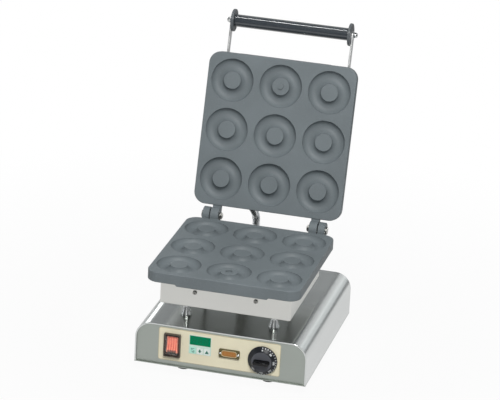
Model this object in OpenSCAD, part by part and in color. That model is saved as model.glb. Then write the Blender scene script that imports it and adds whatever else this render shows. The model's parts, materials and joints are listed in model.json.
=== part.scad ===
// Tabletop donut maker: two ring-mould castings hinged at the back, each over its own heater box,
// on a bent-sheet base that holds the controls. It is drawn with the lid standing open.
// The origin lies on the table, under the middle of the whole outline. +X is the user's right,
// -Y is the front.

/* [Base] */
// Width of the base cover
base_width = 300; // [285:1:340]
// Depth of the base cover
base_depth = 333; // [320:1:370]
// Height of the base's top above the table
base_height = 95; // [90:1:105]
// Outer radius of the cover's two long bends
bend_radius = 29; // [20:1:32]
// Thickness of the base's sheets
sheet = 1.5; // [1:0.1:2]
// How far the end panels sit inside the cover's edges
panel_inset = 3; // [2:0.5:8]
// Gap all round the end panels
panel_gap = 0.3; // [0.2:0.1:0.5]
// Width of the folded flanges that the bottom plate is screwed to
flange_width = 14; // [10:1:18]

/* [Feet] */
// Height of the rubber feet
foot_height = 20; // [14:1:24]
// Diameter of a foot where it meets the bottom plate
foot_top_d = 32; // [24:1:36]
// Diameter of a foot at the table
foot_bottom_d = 28; // [20:1:32]
// Distance between the left and right feet
foot_spacing_x = 150; // [130:1:200]
// Distance between the front and rear feet
foot_spacing_y = 236; // [220:1:270]

/* [Ring plates] */
// Width of the two castings
plate_width = 266; // [264:1:290]
// Depth of the two castings
plate_depth = 270; // [266:1:290]
// Thickness of the two castings
plate_thickness = 15; // [13:0.5:20]
// Corner radius of the castings
plate_corner = 21; // [10:1:30]
// Chamfer round the castings' edges
plate_chamfer = 1.5; // [0.5:0.1:2]
// Gap between the baking faces when the lid is shut
plate_gap = 0.6; // [0.5:0.1:1.5]
// Height of the parting plane, and of the hinge axis, above the table
parting_height = 194; // [190:1:210]
// How far the plates' centre lies in front of the base's centre
plate_forward = 45; // [30:1:50]
// Ring moulds in a row, and rows
grid_count = 3; // [3:1:3]
// Distance between the ring moulds in a row
column_pitch = 87.5; // [80:0.5:88]
// Distance between the rows
row_pitch = 87.2; // [80:0.1:88]
// Outer diameter of a ring mould
ring_d = 76; // [70:0.5:78]
// Diameter of the boss in a ring mould
boss_d = 30.5; // [28:0.5:34]
// Depth of a ring mould
ring_depth = 10.5; // [8:0.1:11]
// Height of the step at a ring mould's rim
rim_step = 1; // [0.4:0.1:2]
// Diameter of the pin in the lid that sets the two castings to each other
locating_pin_d = 10; // [6:0.5:14]
// How far that pin stands out of the lid casting
locating_pin_h = 2.4; // [1:0.1:3]
// Width of the lip that hangs from the front edge
lip_width = 164; // [100:1:180]
// How far that lip hangs below the casting
lip_drop = 6.2; // [3:0.1:8]
// Thickness of that lip
lip_thickness = 9; // [6:0.5:12]

/* [Heater boxes] */
// Thickness of the heater boxes' sheet
box_sheet = 1.2; // [0.8:0.1:2]
// How far the lower box's sides sit inside the casting's sides
lower_box_side = 19.2; // [16:0.1:22]
// How far the lid box's sides sit inside the casting's sides
lid_box_side = 25; // [23:0.5:27]
// How far both boxes' ends sit inside the casting's ends
box_end = 30; // [26:0.5:34]
// Height of the lower box
lower_box_height = 52.2; // [48:0.1:56]
// Height of the lid box
lid_box_height = 45; // [42:0.5:56]
// Diameter of the tubular heating elements
element_d = 8.5; // [6.5:0.5:9]
// Clearance between the element's bends and the bosses in front of them
element_end_gap = 2; // [1:0.5:8]
// Distance from the ends of the element's outer runs to the box's rear end
element_tail_inset = 16; // [12:1:20]

/* [Standoffs] */
// Distance between the left and right standoffs
standoff_spacing_x = 154; // [140:1:170]
// Distance between the front and rear standoffs
standoff_spacing_y = 129; // [110:1:150]
// Diameter of a standoff's flared foot
standoff_foot_d = 19; // [15:0.5:24]
// Diameter of a standoff's neck
standoff_neck_d = 9.5; // [9:0.5:14]
// Height of a standoff's flare
standoff_flare = 15; // [10:1:20]

/* [Hinge] */
// How far the hinge axis lies behind the castings
hinge_setback = 17.7; // [16:0.1:22]
// Diameter of the knuckles
knuckle_d = 28; // [24:1:30]
// Where the lower casting's knuckles start, from the middle
outer_knuckle_x = 98.5; // [96:0.5:102]
// Width of the lower casting's knuckles
outer_knuckle_w = 12; // [8:0.5:16]
// Width of the lid's knuckles
inner_knuckle_w = 14.5; // [10:0.5:18]
// Gap between two neighbouring knuckles
knuckle_gap = 2; // [1:0.1:3]
// Diameter of the hinge pins
pin_d = 8; // [6:0.5:10]
// Radial clearance of a pin in its bore
pin_clearance = 0.06; // [0.03:0.01:0.1]
// Angle between the baking faces when the lid stands open
lid_open = 106; // [100:1:112]
// Length of the heels that stop the open lid against the lower casting
heel_length = 24; // [21:1:28]

/* [Handle] */
// Distance from the hinge axis to the grip's axis
handle_reach = 343.5; // [330:0.5:360]
// Thickness of the handle's flat bars
bar_thickness = 3; // [2:0.5:4]
// Width of the handle's flat bars
bar_width = 12; // [10:1:16]
// Length of a bar's seat on the side of the lid box
bar_seat = 100; // [80:1:120]
// Diameter of the grip
grip_d = 22; // [18:1:26]
// Diameter of the heat guards at the grip's ends
guard_d = 40; // [34:1:46]
// Thickness of the heat guards
guard_thickness = 5; // [4:0.5:7]
// Diameter of the rod through the grip
rod_d = 8; // [6:0.5:10]

/* [Control overlay] */
// Width of the plastic overlay on the front panel
overlay_width = 213; // [205:1:225]
// Height of the overlay
overlay_height = 59; // [54:1:60]
// Thickness of the overlay
overlay_thickness = 0.6; // [0.4:0.1:1]
// Corner radius of the overlay
overlay_corner = 4; // [2:0.5:8]
// Overlay's middle, to the right of the base's middle
overlay_x = -2.5; // [-5:0.5:2]
// Overlay's middle, above the table
overlay_z = 59; // [57:0.5:60]

/* [Mains switch] */
// Switch's middle, to the right of the base's middle
switch_x = -84.3; // [-87:0.1:-80]
// Switch's middle, above the table
switch_z = 58.7; // [55:0.1:62]
// Width of the switch's outer frame
switch_frame_w = 29.5; // [29:0.5:32]
// Height of the switch's outer frame
switch_frame_h = 42.5; // [41:0.5:46]
// Width of the rocker
rocker_w = 18.6; // [16:0.1:19]
// Height of the rocker
rocker_h = 27; // [24:0.5:28]
// Tilt of the rocker to either side of its middle position
rocker_tilt = 9; // [6:0.5:11]
// How far the clear splash cap stands out from the panel
cap_depth = 9.5; // [9:0.1:12]

/* [Timer] */
// Display's middle, to the right of the base's middle
display_x = -36; // [-38:0.1:-34]
// Display's middle, above the table
display_z = 72.9; // [71:0.1:74]
// Width of the display window
display_w = 37; // [32:0.5:40]
// Height of the display window
display_h = 17.2; // [12:0.1:18]
// Keys' middle, above the table
key_z = 54.6; // [52:0.1:56]
// Distance between the keys
key_pitch = 12.4; // [12:0.1:13.5]
// Width of a key
key_w = 10.4; // [9:0.1:10.8]
// Height of a key
key_h = 11; // [9:0.1:12]
// Travel of a key
key_travel = 0.8; // [0.4:0.1:1.2]
// Distance from the front panel back to the timer's board
board_depth = 14; // [13:0.5:18]

/* [Pilot lamp] */
// Lamp's middle, to the right of the base's middle
lamp_x = 15.6; // [13:0.1:18]
// Lamp's middle, above the table
lamp_z = 58.2; // [55:0.1:61]
// Width of the lamp's bezel
lamp_w = 36.2; // [34:0.1:40]
// Height of the lamp's bezel
lamp_h = 15.5; // [14:0.1:18]
// How far the bezel stands out from the overlay
lamp_out = 2.2; // [1.5:0.1:3]
// Width of the amber lens
lens_w = 24.5; // [20:0.5:25]
// Height of the amber lens
lens_h = 8.5; // [6:0.5:10]

/* [Thermostat] */
// Knob's middle, to the right of the base's middle
knob_x = 74; // [71:0.5:76]
// Knob's middle, above the table
knob_z = 56; // [54:0.5:60]
// Diameter of the knob's skirt
knob_d = 51; // [44:0.5:52]
// Height of the knob's disc
knob_h = 8.5; // [7:0.5:11]
// Length of the grip bar across the knob
knob_bar_l = 27; // [22:0.5:32]
// Thickness of that grip bar
knob_bar_t = 6; // [5:0.5:8]
// How far that grip bar stands out from the disc
knob_bar_h = 11; // [8:0.5:14]
// Diameter of the thermostat's shaft
shaft_d = 6; // [5:0.5:8]

/* [Conduit] */
// Outer diameter of the metal conduit that feeds the lid
conduit_d = 14; // [10:0.5:16]
// Conduit's lower end, to the right of the middle
conduit_base_x = -31; // [-50:1:-20]
// Conduit's upper end, to the right of the middle
conduit_lid_x = -41; // [-70:1:-30]
// Distance from the cover's rear edge to the conduit's lower end
conduit_base_inset = 20; // [16:1:30]
// How far the slack conduit bulges to the rear
conduit_bulge = 52; // [30:1:60]

/* [Hidden] */
$fn = 64;
eps = 0.5;

// Fits
seat_gap = 0.3;
loose = 0.3;
bolt_clearance = 0.2;
knob_off = overlay_thickness + 1.2;

// Lid, as seen from the hinge axis
lid_lean = lid_open - 90;
lid_middle = plate_depth / 2 + hinge_setback;
handle_lift = plate_gap / 2 + plate_thickness + lid_box_height / 2;

// Front-to-back places: the whole outline, with the lid open, is centred on the origin
knob_reach = base_depth / 2 - panel_inset + knob_off + knob_h + knob_bar_h;
front_reach = max(plate_forward + plate_depth / 2, knob_reach);
hinge_reach = plate_depth / 2 + hinge_setback - plate_forward;
rear_reach = hinge_reach + handle_reach * sin(lid_lean) + handle_lift * cos(lid_lean) + guard_d / 2;
base_y = (front_reach - rear_reach) / 2;
base_front = base_y - base_depth / 2;
base_rear = base_y + base_depth / 2;
panel_front = base_front + panel_inset;
panel_back = panel_front + sheet;
plate_y = base_y - plate_forward;
hinge_y = base_y + hinge_reach;

// Heights
floor_top = foot_height + sheet;
lower_face = parting_height - plate_gap / 2;
lower_box_floor = lower_face - plate_thickness - lower_box_height;
standoff_height = lower_box_floor - base_height;

// Castings and heater boxes
lower_box_w = plate_width - 2 * lower_box_side;
lid_box_w = plate_width - 2 * lid_box_side;
box_depth = plate_depth - 2 * box_end;
clamp_thickness = 2;
element_z = -plate_thickness - seat_gap - element_d / 2;
clamp_top = -plate_thickness - 2 * seat_gap - element_d;
clamp_bottom = clamp_top - clamp_thickness;
box_screw_x = 53;
box_screw_rear_x = 72;
box_screw_drop = 24.5;
box_screw_d = 4;
box_boss_size = 14;
clamp_screw_y = 26;
clamp_screw_d = 5;
clamp_boss_d = 13;
inner_knuckle_x = outer_knuckle_x - knuckle_gap - inner_knuckle_w;
pin_bore_d = pin_d + 2 * pin_clearance;
heel_depth = hinge_setback * sin(lid_open) + cos(lid_open) * (plate_gap / 2 + plate_thickness - plate_chamfer)
  - seat_gap;

// Fasteners
bolt_d = 6;
bolt_head_d = 10;
bolt_head_h = 4;
foot_screw_d = 5;
foot_screw_head_d = 9;
foot_recess_d = 12;
foot_recess = 7;
weld_nut_d = 12;
weld_nut_h = 4;
sheet_screw_d = 4;

// Handle
bar_x = lid_box_w / 2;
bar_end = lid_middle - box_depth / 2 + box_depth - bar_seat;
bar_screw_pitch = bar_seat * 0.6;
guard_x = bar_x - guard_thickness;

// Switch
rocker_pivot = -2;
rocker_face = 3;
rocker_back = 3;
rocker_rib = 0.6;
rocker_rib_w = 1.8;
rocker_pitch = (rocker_w - rocker_rib_w) / 4;
housing_w = rocker_w + 3.4;
housing_h = rocker_h + 6;
housing_lip = 1.6;
housing_depth = 24;
pocket_depth = 10;
trunnion_d = 2.4;
trunnion_l = 1.2;
cap_wall = 1;

// Timer
board_thickness = 1.6;
key_out = 0.9;
key_stem_back = -8;
key_flange = 1.2;
key_flange_h = key_h + 3;
board_w = 60;
board_h = 44;
board_z = (display_z + key_z) / 2;
pillar_d = 5;

// Thermostat
thermostat_size = 36;
thermostat_depth = 32;
thermostat_screw_pitch = 28;
hub_d = 12;

// Glands and tubes
gland_d = conduit_d + 6;
gland_h = 10;
wiring_tube_d = 20;
wiring_tube_y = plate_y + 20;
mains_gland_x = 55 - base_width / 2;
mains_gland_z = 52;
mains_cord_d = 9;
conduit_sides = 12;
conduit_rings = 26;
conduit_base = [conduit_base_x, base_rear - conduit_base_inset, base_height + gland_h];
conduit_lid = lid_point(conduit_lid_x, -lid_middle + box_depth / 2 + gland_h, handle_lift);

// ---- Flat shapes and placing ----

// A sheet's outline: flat below, with the two upper corners round
module arch(w, h, r) {
  translate([-w / 2, 0]) square([w, h - r]);
  translate([-w / 2 + r, 0]) square([w - 2 * r, h]);
  for (side = [-1, 1]) translate([side * (w / 2 - r), h - r]) circle(r);
}

module rounded(w, h, r) {
  square([w - 2 * r, h], center = true);
  square([w, h - 2 * r], center = true);
  for (x = [-1, 1], y = [-1, 1]) translate([x * (w / 2 - r), y * (h / 2 - r)]) circle(r);
}

// Stands a flat outline up, its front at y and its thickness behind it
module upright(y, thickness) {
  translate([0, y + thickness, 0]) rotate([90, 0, 0]) linear_extrude(thickness) children();
}

// A place on the control panel, depth counted forwards from the front panel's face
module at_panel(x, z, depth) {
  translate([x, panel_front - depth, z]) children();
}

// Lies along X, from x to x + length
module rod_x(d, x, length) {
  translate([x, 0, 0]) rotate([0, 90, 0]) cylinder(d = d, h = length);
}

// Points forwards, its front at y = 0 and its length behind it
module rod_y(d, length) {
  rotate([-90, 0, 0]) cylinder(d = d, h = length);
}

module four(dx, dy) {
  for (x = [-1, 1], y = [-1, 1]) translate([x * dx / 2, y * dy / 2, 0]) children();
}

module both_sides() {
  children();
  mirror([1, 0, 0]) children();
}

// Pan head on a shank that points to -Z, with the head's seat at z = 0
module pan_screw(d, length) {
  head_r = d * 0.95;
  head_h = d * 0.6;
  translate([0, 0, -length]) cylinder(d = d, h = length);
  rotate_extrude() {
    square([head_r, head_h * 0.4]);
    square([head_r * 0.65, head_h]);
    translate([head_r * 0.65, head_h * 0.4]) intersection() {
      circle(head_h * 0.6);
      square(head_h);
    }
  }
}

// Hexagon screw whose shank points to +Z, with the head's seat at z = 0
module hex_screw(d, length, head_d, head_h) {
  cylinder(d = d, h = length);
  translate([0, 0, -head_h]) cylinder(d = head_d, h = head_h, $fn = 6);
}

module ring(d, bore, h, sides = $fn) {
  difference() {
    cylinder(d = d, h = h, $fn = sides);
    translate([0, 0, -eps]) cylinder(d = bore, h = h + 2 * eps);
  }
}

// ---- Placing of the two plate units ----
// A unit is drawn with its baking face at z = 0, its body below and its hinge behind.

module lower_unit() {
  translate([0, plate_y, lower_face]) children();
}

// The lid as it lies when shut, turned about the hinge axis to its open place
module on_lid() {
  translate([0, hinge_y, parting_height]) rotate([-lid_open, 0, 0]) children();
}

module lid_unit() {
  on_lid() translate([0, -lid_middle, plate_gap / 2]) mirror([0, 0, 1]) children();
}

function lid_point(x, y, z) = [
  x,
  hinge_y + y * cos(lid_open) + z * sin(lid_open),
  parting_height - y * sin(lid_open) + z * cos(lid_open)
];

// ---- Parts of a plate unit ----

// A slab with round corners and chamfered edges, its top at z = 0
module slab(w, d, t, r, c) {
  module section(size) {
    polygon([
      [-size / 2 + c, 0], [size / 2 - c, 0], [size / 2, -c], [size / 2, -t + c],
      [size / 2 - c, -t], [-size / 2 + c, -t], [-size / 2, -t + c], [-size / 2, -c]
    ]);
  }
  translate([0, d / 2 - r, 0]) rotate([90, 0, 0]) linear_extrude(d - 2 * r) section(w);
  rotate([90, 0, 90]) translate([0, 0, r - w / 2]) linear_extrude(w - 2 * r) section(d);
  four(w - 2 * r, d - 2 * r) rotate_extrude() intersection() {
    section(2 * r);
    translate([0, -t]) square([r, t]);
  }
}

// Section of a ring mould: a steep boss wall, a round root, a wide arc and the step at the rim
module ring_section() {
  root = ring_depth * 0.48;
  boss_r = boss_d / 2;
  floor_r = boss_r + root + 2;
  rise = ring_d / 2 - floor_r;
  drop = ring_depth - rim_step;
  arc = (rise * rise + drop * drop) / (2 * drop);
  translate([floor_r - eps, -rim_step - eps]) square([rise + eps, rim_step + 2 * eps]);
  translate([boss_r, root - ring_depth]) square([floor_r - boss_r, ring_depth - root + eps]);
  translate([boss_r + root, -ring_depth]) square([floor_r - boss_r - root, root + eps]);
  translate([boss_r + root, root - ring_depth]) circle(root);
  intersection() {
    translate([floor_r, arc - ring_depth]) circle(arc);
    translate([floor_r - eps, -ring_depth]) square([rise + eps, drop]);
  }
}

module ring_moulds() {
  middle = (grid_count - 1) / 2;
  for (column = [0 : grid_count - 1], row = [0 : grid_count - 1])
    translate([(column - middle) * column_pitch, (row - middle) * row_pitch, 0])
      rotate_extrude() ring_section();
}

// A place on the middle boss of the first row, where the castings are set to each other
module locating_place(height) {
  translate([0, -(grid_count - 1) / 2 * row_pitch, height]) children();
}

module locating_pin() {
  tip = 0.6;
  locating_place(-plate_chamfer) cylinder(d = locating_pin_d, h = plate_chamfer + locating_pin_h - tip);
  locating_place(locating_pin_h - tip) cylinder(d1 = locating_pin_d, d2 = locating_pin_d - 2 * tip, h = tip);
}

module locating_socket() {
  locating_place(-locating_pin_h - 1) cylinder(d = locating_pin_d + 2, h = locating_pin_h + 1 + eps);
}

// A knuckle from x outwards, with its arm to the casting
module knuckle(x, w) {
  axis_y = lid_middle;
  translate([x, plate_depth / 2 - 6, 2 - knuckle_d / 2])
    cube([w, hinge_setback + 6, knuckle_d / 2 - 2 - plate_chamfer]);
  translate([0, axis_y, plate_gap / 2]) rod_x(knuckle_d, x, w);
}

module pin_bores() {
  both_sides() translate([0, lid_middle, plate_gap / 2]) rod_x(pin_bore_d, inner_knuckle_x - 5, 50);
}

// Bosses under the casting: four that the box's screws go into, four that the clamp is screwed to
module under_bosses() {
  boss_y = box_depth / 2 - box_sheet - seat_gap - box_boss_size / 2;
  for (x = [-1, 1], place = [[box_screw_x, -boss_y], [box_screw_rear_x, boss_y]])
    translate([x * place[0], place[1], -plate_thickness - box_screw_drop - box_boss_size / 4])
      linear_extrude(box_screw_drop + box_boss_size / 4 + eps) rounded(box_boss_size, box_boss_size, 3);
}

module clamp_bosses(box_w) {
  clamp_places(box_w) translate([0, 0, clamp_top]) cylinder(d = clamp_boss_d, h = -clamp_top - plate_thickness + eps);
}

module clamp_places(box_w) {
  four(2 * element_pitch(box_w), 2 * clamp_screw_y) children();
}

module box_screw_places() {
  z = -plate_thickness - box_screw_drop;
  for (x = [-1, 1]) {
    translate([x * box_screw_x, -box_depth / 2, z]) rotate([90, 0, 0]) children();
    translate([x * box_screw_rear_x, box_depth / 2, z]) rotate([-90, 0, 0]) children();
  }
}

module casting(box_w) {
  difference() {
    union() {
      slab(plate_width, plate_depth, plate_thickness, plate_corner, plate_chamfer);
      under_bosses();
      clamp_bosses(box_w);
      translate([-lip_width / 2, -plate_depth / 2, -plate_thickness - lip_drop])
        cube([lip_width, lip_thickness, lip_drop + 2 * plate_chamfer]);
      children();
    }
    ring_moulds();
    pin_bores();
    box_screw_places() translate([0, 0, -11]) cylinder(d = box_screw_d + bolt_clearance, h = 11);
    clamp_places(box_w) translate([0, 0, clamp_top - eps]) cylinder(d = clamp_screw_d + bolt_clearance, h = 10 + eps);
  }
}

function element_pitch(box_w) = box_w / 4 - 0.4;

// Distance from the casting's middle to the start of the element's bends
function element_reach(box_w) =
  box_depth / 2 - box_sheet - seat_gap - box_boss_size - element_end_gap - element_d / 2 - element_pitch(box_w) / 2;

// Tubular element: four straight runs along Y, joined by three bends
module element(box_w) {
  pitch = element_pitch(box_w);
  reach = element_reach(box_w);
  translate([0, 0, element_z]) {
    for (i = [-1.5, 1.5]) translate([i * pitch, -reach, 0])
      rod_y(element_d, reach + box_depth / 2 - element_tail_inset);
    for (i = [-0.5, 0.5]) translate([i * pitch, -reach, 0]) rod_y(element_d, 2 * reach);
    for (side = [-1, 1]) translate([side * pitch, -reach, 0])
      rotate([0, 0, 180]) rotate_extrude(angle = 180) translate([pitch / 2, 0]) circle(d = element_d);
    translate([0, reach, 0])
      rotate_extrude(angle = 180) translate([pitch / 2, 0]) circle(d = element_d);
  }
}

module clamp(box_w) {
  difference() {
    translate([0, 0, clamp_bottom]) linear_extrude(clamp_thickness)
      rounded(4 * element_pitch(box_w) - 8, 2 * element_reach(box_w) + 10, 6);
    clamp_places(box_w) translate([0, 0, clamp_bottom - eps])
      cylinder(d = clamp_screw_d + bolt_clearance, h = clamp_thickness + 2 * eps);
  }
}

module clamp_screws(box_w) {
  clamp_places(box_w) translate([0, 0, clamp_bottom]) hex_screw(clamp_screw_d, 10, 8.5, 3.5);
}

// Mineral wool between the clamp and the box's floor
module wool(box_w, box_h, floor_space) {
  bottom = -plate_thickness - box_h + box_sheet + floor_space;
  wool_d = 2 * (box_depth / 2 - box_sheet - box_boss_size - 2 * seat_gap);
  difference() {
    translate([0, 0, bottom]) linear_extrude(clamp_bottom - seat_gap - bottom)
      rounded(box_w - 2 * (box_sheet + weld_nut_h + 2), wool_d, 4);
    clamp_places(box_w) translate([0, 0, clamp_bottom - 6]) cylinder(d = 12, h = 7);
  }
}

// Sheet box, open towards the casting
module heater_box(box_w, box_h) {
  outer_r = 2.5;
  translate([0, 0, -plate_thickness - box_h]) difference() {
    linear_extrude(box_h) rounded(box_w, box_depth, outer_r);
    translate([0, 0, box_sheet]) linear_extrude(box_h)
      rounded(box_w - 2 * box_sheet, box_depth - 2 * box_sheet, outer_r - box_sheet);
  }
}

module box_screws() {
  box_screw_places() pan_screw(box_screw_d, 9);
}

module box_screw_holes() {
  box_screw_places() translate([0, 0, -box_sheet - eps])
    cylinder(d = box_screw_d + bolt_clearance, h = box_sheet + 2 * eps);
}

// ---- Base ----

module base_cover() {
  flange_l = base_depth - 2 * (panel_inset + sheet + flange_width + 2);
  color("silver") difference() {
    union() {
      upright(base_front, base_depth) difference() {
        translate([0, floor_top]) arch(base_width, base_height - floor_top, bend_radius);
        translate([0, floor_top - eps])
          arch(base_width - 2 * sheet, base_height - floor_top - sheet + eps, bend_radius - sheet);
      }
      for (side = [-1, 1])
        translate([side * (base_width / 2 - flange_width / 2 - sheet / 2), base_y, floor_top + sheet / 2])
          cube([flange_width + sheet, flange_l, sheet], center = true);
    }
    standoff_places() translate([0, 0, base_height - 3]) cylinder(d = bolt_d + 2 * bolt_clearance, h = 4);
    translate([conduit_base[0], conduit_base[1], base_height - 3]) cylinder(d = gland_d - 5, h = 4);
    translate([0, wiring_tube_y, base_height - 3]) cylinder(d = wiring_tube_d + bolt_clearance, h = 4);
    bottom_screw_places() translate([0, 0, -eps]) cylinder(d = sheet_screw_d + bolt_clearance, h = 5);
  }
}

module panel_outline() {
  gap = sheet + panel_gap;
  translate([0, floor_top]) arch(base_width - 2 * gap, base_height - floor_top - gap, bend_radius - gap);
}

module front_panel() {
  color("silver") difference() {
    union() {
      upright(panel_front, sheet) panel_outline();
      translate([-base_width / 2 + 20, panel_front, floor_top]) cube([base_width - 40, flange_width, sheet]);
    }
    control_openings(eps);
    at_panel(knob_x, knob_z, eps) for (side = [-1, 1]) translate([side * thermostat_screw_pitch / 2, 0, 0])
      rod_y(4.4, sheet + 2 * eps);
  }
}

// The openings that the panel and the overlay share
module control_openings(margin) {
  depth = sheet + overlay_thickness + 4 * margin;
  front = panel_front - overlay_thickness - 2 * margin;
  translate([switch_x, front, switch_z]) upright(0, depth) rounded(housing_w + 2 * loose, housing_h + 2 * loose, 1);
  translate([display_x, front, display_z]) upright(0, depth) square([display_w, display_h], center = true);
  for (i = [-1, 0, 1]) translate([display_x + i * key_pitch, front, key_z])
    upright(0, depth) rounded(key_w + 2 * loose, key_h + 2 * loose, 1);
  translate([lamp_x, front, lamp_z]) upright(0, depth) rounded(lens_w + 2 * loose, lens_h - 1, 2);
  for (side = [-1, 1]) translate([lamp_x + side * lamp_screw_x(), front, lamp_z]) rod_y(2.4, depth);
  translate([knob_x, front, knob_z]) rod_y(hub_d + 1, depth);
}

module rear_panel() {
  louvre_pitch = 12;
  color("silver") difference() {
    union() {
      upright(base_rear - panel_inset - sheet, sheet) panel_outline();
      translate([-base_width / 2 + 20, base_rear - panel_inset - flange_width, floor_top])
        cube([base_width - 40, flange_width, sheet]);
    }
    translate([mains_gland_x, base_rear - panel_inset - sheet - eps, mains_gland_z]) rod_y(16, sheet + 2 * eps);
    for (i = [0 : 9]) translate([-20 + i * louvre_pitch, base_rear - panel_inset - sheet - eps, 55])
      upright(0, sheet + 2 * eps) rounded(4, 34, 1.9);
  }
}

module bottom_plate() {
  slot_pitch = 16;
  slot_width = 5;
  slot_length = base_depth * 0.24;
  color("darkgray") difference() {
    union() {
      translate([-base_width / 2, base_front, foot_height]) cube([base_width, base_depth, sheet]);
      foot_places() translate([0, 0, floor_top]) cylinder(d = weld_nut_d, h = weld_nut_h);
    }
    foot_places() translate([0, 0, foot_height - eps]) cylinder(d = foot_screw_d + bolt_clearance, h = 12);
    bottom_screw_places() translate([0, 0, -sheet - eps]) cylinder(d = sheet_screw_d + bolt_clearance, h = 5);
    for (i = [-3 : 3]) translate([i * slot_pitch, base_y, foot_height - eps])
      linear_extrude(sheet + 2 * eps) rounded(slot_width, slot_length, slot_width / 2 - 0.1);
  }
}

module bottom_screw_places() {
  for (side = [-1, 1], row = [-1, 0, 1])
    translate([side * (base_width / 2 - sheet - flange_width / 2), base_y + row * base_depth * 0.3, floor_top])
      children();
}

module bottom_screws() {
  color("gainsboro") bottom_screw_places() translate([0, 0, -sheet]) mirror([0, 0, 1]) pan_screw(sheet_screw_d, 7);
}

module foot_places() {
  translate([0, base_y, 0]) four(foot_spacing_x, foot_spacing_y) children();
}

module rubber_feet() {
  edge = 3;
  color("dimgray") foot_places() rotate_extrude() difference() {
    union() {
      translate([0, edge]) polygon([
        [0, 0], [foot_bottom_d / 2, 0], [foot_top_d / 2, foot_height - edge], [0, foot_height - edge]
      ]);
      square([foot_bottom_d / 2 - edge, edge + eps]);
      translate([foot_bottom_d / 2 - edge, edge]) circle(edge);
    }
    translate([0, -eps]) square([foot_recess_d / 2, foot_recess + eps]);
    square([foot_screw_d / 2 + bolt_clearance, foot_height + eps]);
    translate([-edge * 9, -eps]) square([edge * 9, foot_height + 2 * eps]);
  }
}

module foot_screws() {
  head_h = 3.5;
  color("gainsboro") foot_places() {
    translate([0, 0, foot_recess]) cylinder(d = foot_screw_d, h = foot_height - foot_recess + sheet + weld_nut_h + 1);
    translate([0, 0, foot_recess - head_h]) cylinder(d = foot_screw_head_d, h = head_h);
  }
}

// ---- Controls ----

module control_overlay() {
  color("wheat") difference() {
    upright(panel_front - overlay_thickness, overlay_thickness)
      translate([overlay_x, overlay_z]) rounded(overlay_width, overlay_height, overlay_corner);
    control_openings(eps);
    at_panel(knob_x, knob_z, overlay_thickness + eps) for (side = [-1, 1])
      translate([side * thermostat_screw_pitch / 2, 0, 0]) rod_y(8.6, overlay_thickness + eps);
  }
}

module switch_frame() {
  depth = 5;
  color("saddlebrown") at_panel(switch_x, switch_z, overlay_thickness + depth) upright(0, depth) difference() {
    rounded(switch_frame_w, switch_frame_h, 2);
    rounded(housing_w + 2 * (housing_lip + loose), housing_h + 2 * (housing_lip + loose), 1);
  }
}

module switch_housing() {
  flange = 2;
  color("black") at_panel(switch_x, switch_z, overlay_thickness + flange) difference() {
    union() {
      upright(0, flange) rounded(housing_w + 2 * housing_lip, housing_h + 2 * housing_lip, 1);
      upright(flange - eps, housing_depth) rounded(housing_w, housing_h, 0.8);
      for (x = [-1, 1], z = [-1, 0, 1]) translate([x * 6 - 0.4, housing_depth, z * 9 - 2.4]) cube([0.8, 9, 4.8]);
    }
    upright(-eps, pocket_depth + flange + overlay_thickness + eps) square([rocker_w + 2 * loose, housing_h - 3], center = true);
    translate([0, overlay_thickness + flange - rocker_pivot, 0])
      rod_x(trunnion_d + 2 * pin_clearance, -rocker_w / 2 - trunnion_l - 0.2, rocker_w + 2 * trunnion_l + 0.4);
  }
}

// Side view of the rocker in its middle position: y is up, x counts forwards from the pivot
module rocker_section() {
  rise = rocker_h / 2 * tan(rocker_tilt);
  polygon([
    [-rocker_back, -rocker_h / 2], [rocker_face + rise, -rocker_h / 2], [rocker_face, 0],
    [rocker_face + rise, rocker_h / 2], [-rocker_back, rocker_h / 2], [-rocker_back - 2, 0]
  ]);
}

module switch_rocker() {
  color("tomato") at_panel(switch_x, switch_z, rocker_pivot) rotate([-rocker_tilt, 0, 0]) {
    rotate([90, 0, -90]) translate([0, 0, -rocker_w / 2]) linear_extrude(rocker_w) rocker_section();
    for (i = [-2 : 2]) translate([i * rocker_pitch, -rocker_rib, 0])
      rotate([90, 0, -90]) translate([0, 0, -rocker_rib_w / 2]) linear_extrude(rocker_rib_w) rocker_section();
    rod_x(trunnion_d, -rocker_w / 2 - trunnion_l, rocker_w + 2 * trunnion_l);
  }
}

module splash_cap() {
  out = overlay_thickness + 2;
  w = rocker_w + 2 * (cap_wall + 1.2);
  h = housing_h + 1;
  color([0.9, 0.92, 0.92, 0.35]) at_panel(switch_x, switch_z, cap_depth) difference() {
    upright(0, cap_depth - out) rounded(w, h, 2);
    upright(cap_wall, cap_depth - out) rounded(w - 2 * cap_wall, h - 2 * cap_wall, 1);
  }
}

module display_window() {
  color("seagreen") at_panel(display_x, display_z, overlay_thickness) union() {
    upright(0, overlay_thickness + sheet) square([display_w - 2 * loose, display_h - 2 * loose], center = true);
    upright(overlay_thickness + sheet + 0.1, 1) square([display_w + 3, display_h + 1], center = true);
    upright(overlay_thickness, sheet + 0.6) square([display_w - 6, display_h - 4], center = true);
  }
}

// Board behind the panel, on four pillars, with its display block and the keys' switches
module timer_board() {
  switch_front = -key_stem_back + key_travel + loose;
  display_front = sheet + 1.4;
  color("darkgreen") {
    at_panel(display_x, board_z, -board_depth) upright(0, board_thickness) square([board_w, board_h], center = true);
    at_panel(display_x, board_z, 0) for (x = [-1, 1], z = [-1, 1])
      translate([x * (board_w - pillar_d) / 2, sheet, z * (board_h - pillar_d) / 2]) rod_y(pillar_d, board_depth - sheet);
    at_panel(display_x, display_z, 0)
      upright(display_front, board_depth - display_front) square([display_w - 4, display_h - 3], center = true);
    for (i = [-1, 0, 1]) at_panel(display_x + i * key_pitch, key_z, 0)
      upright(switch_front, board_depth - switch_front) square([6, 6], center = true);
  }
}

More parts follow.
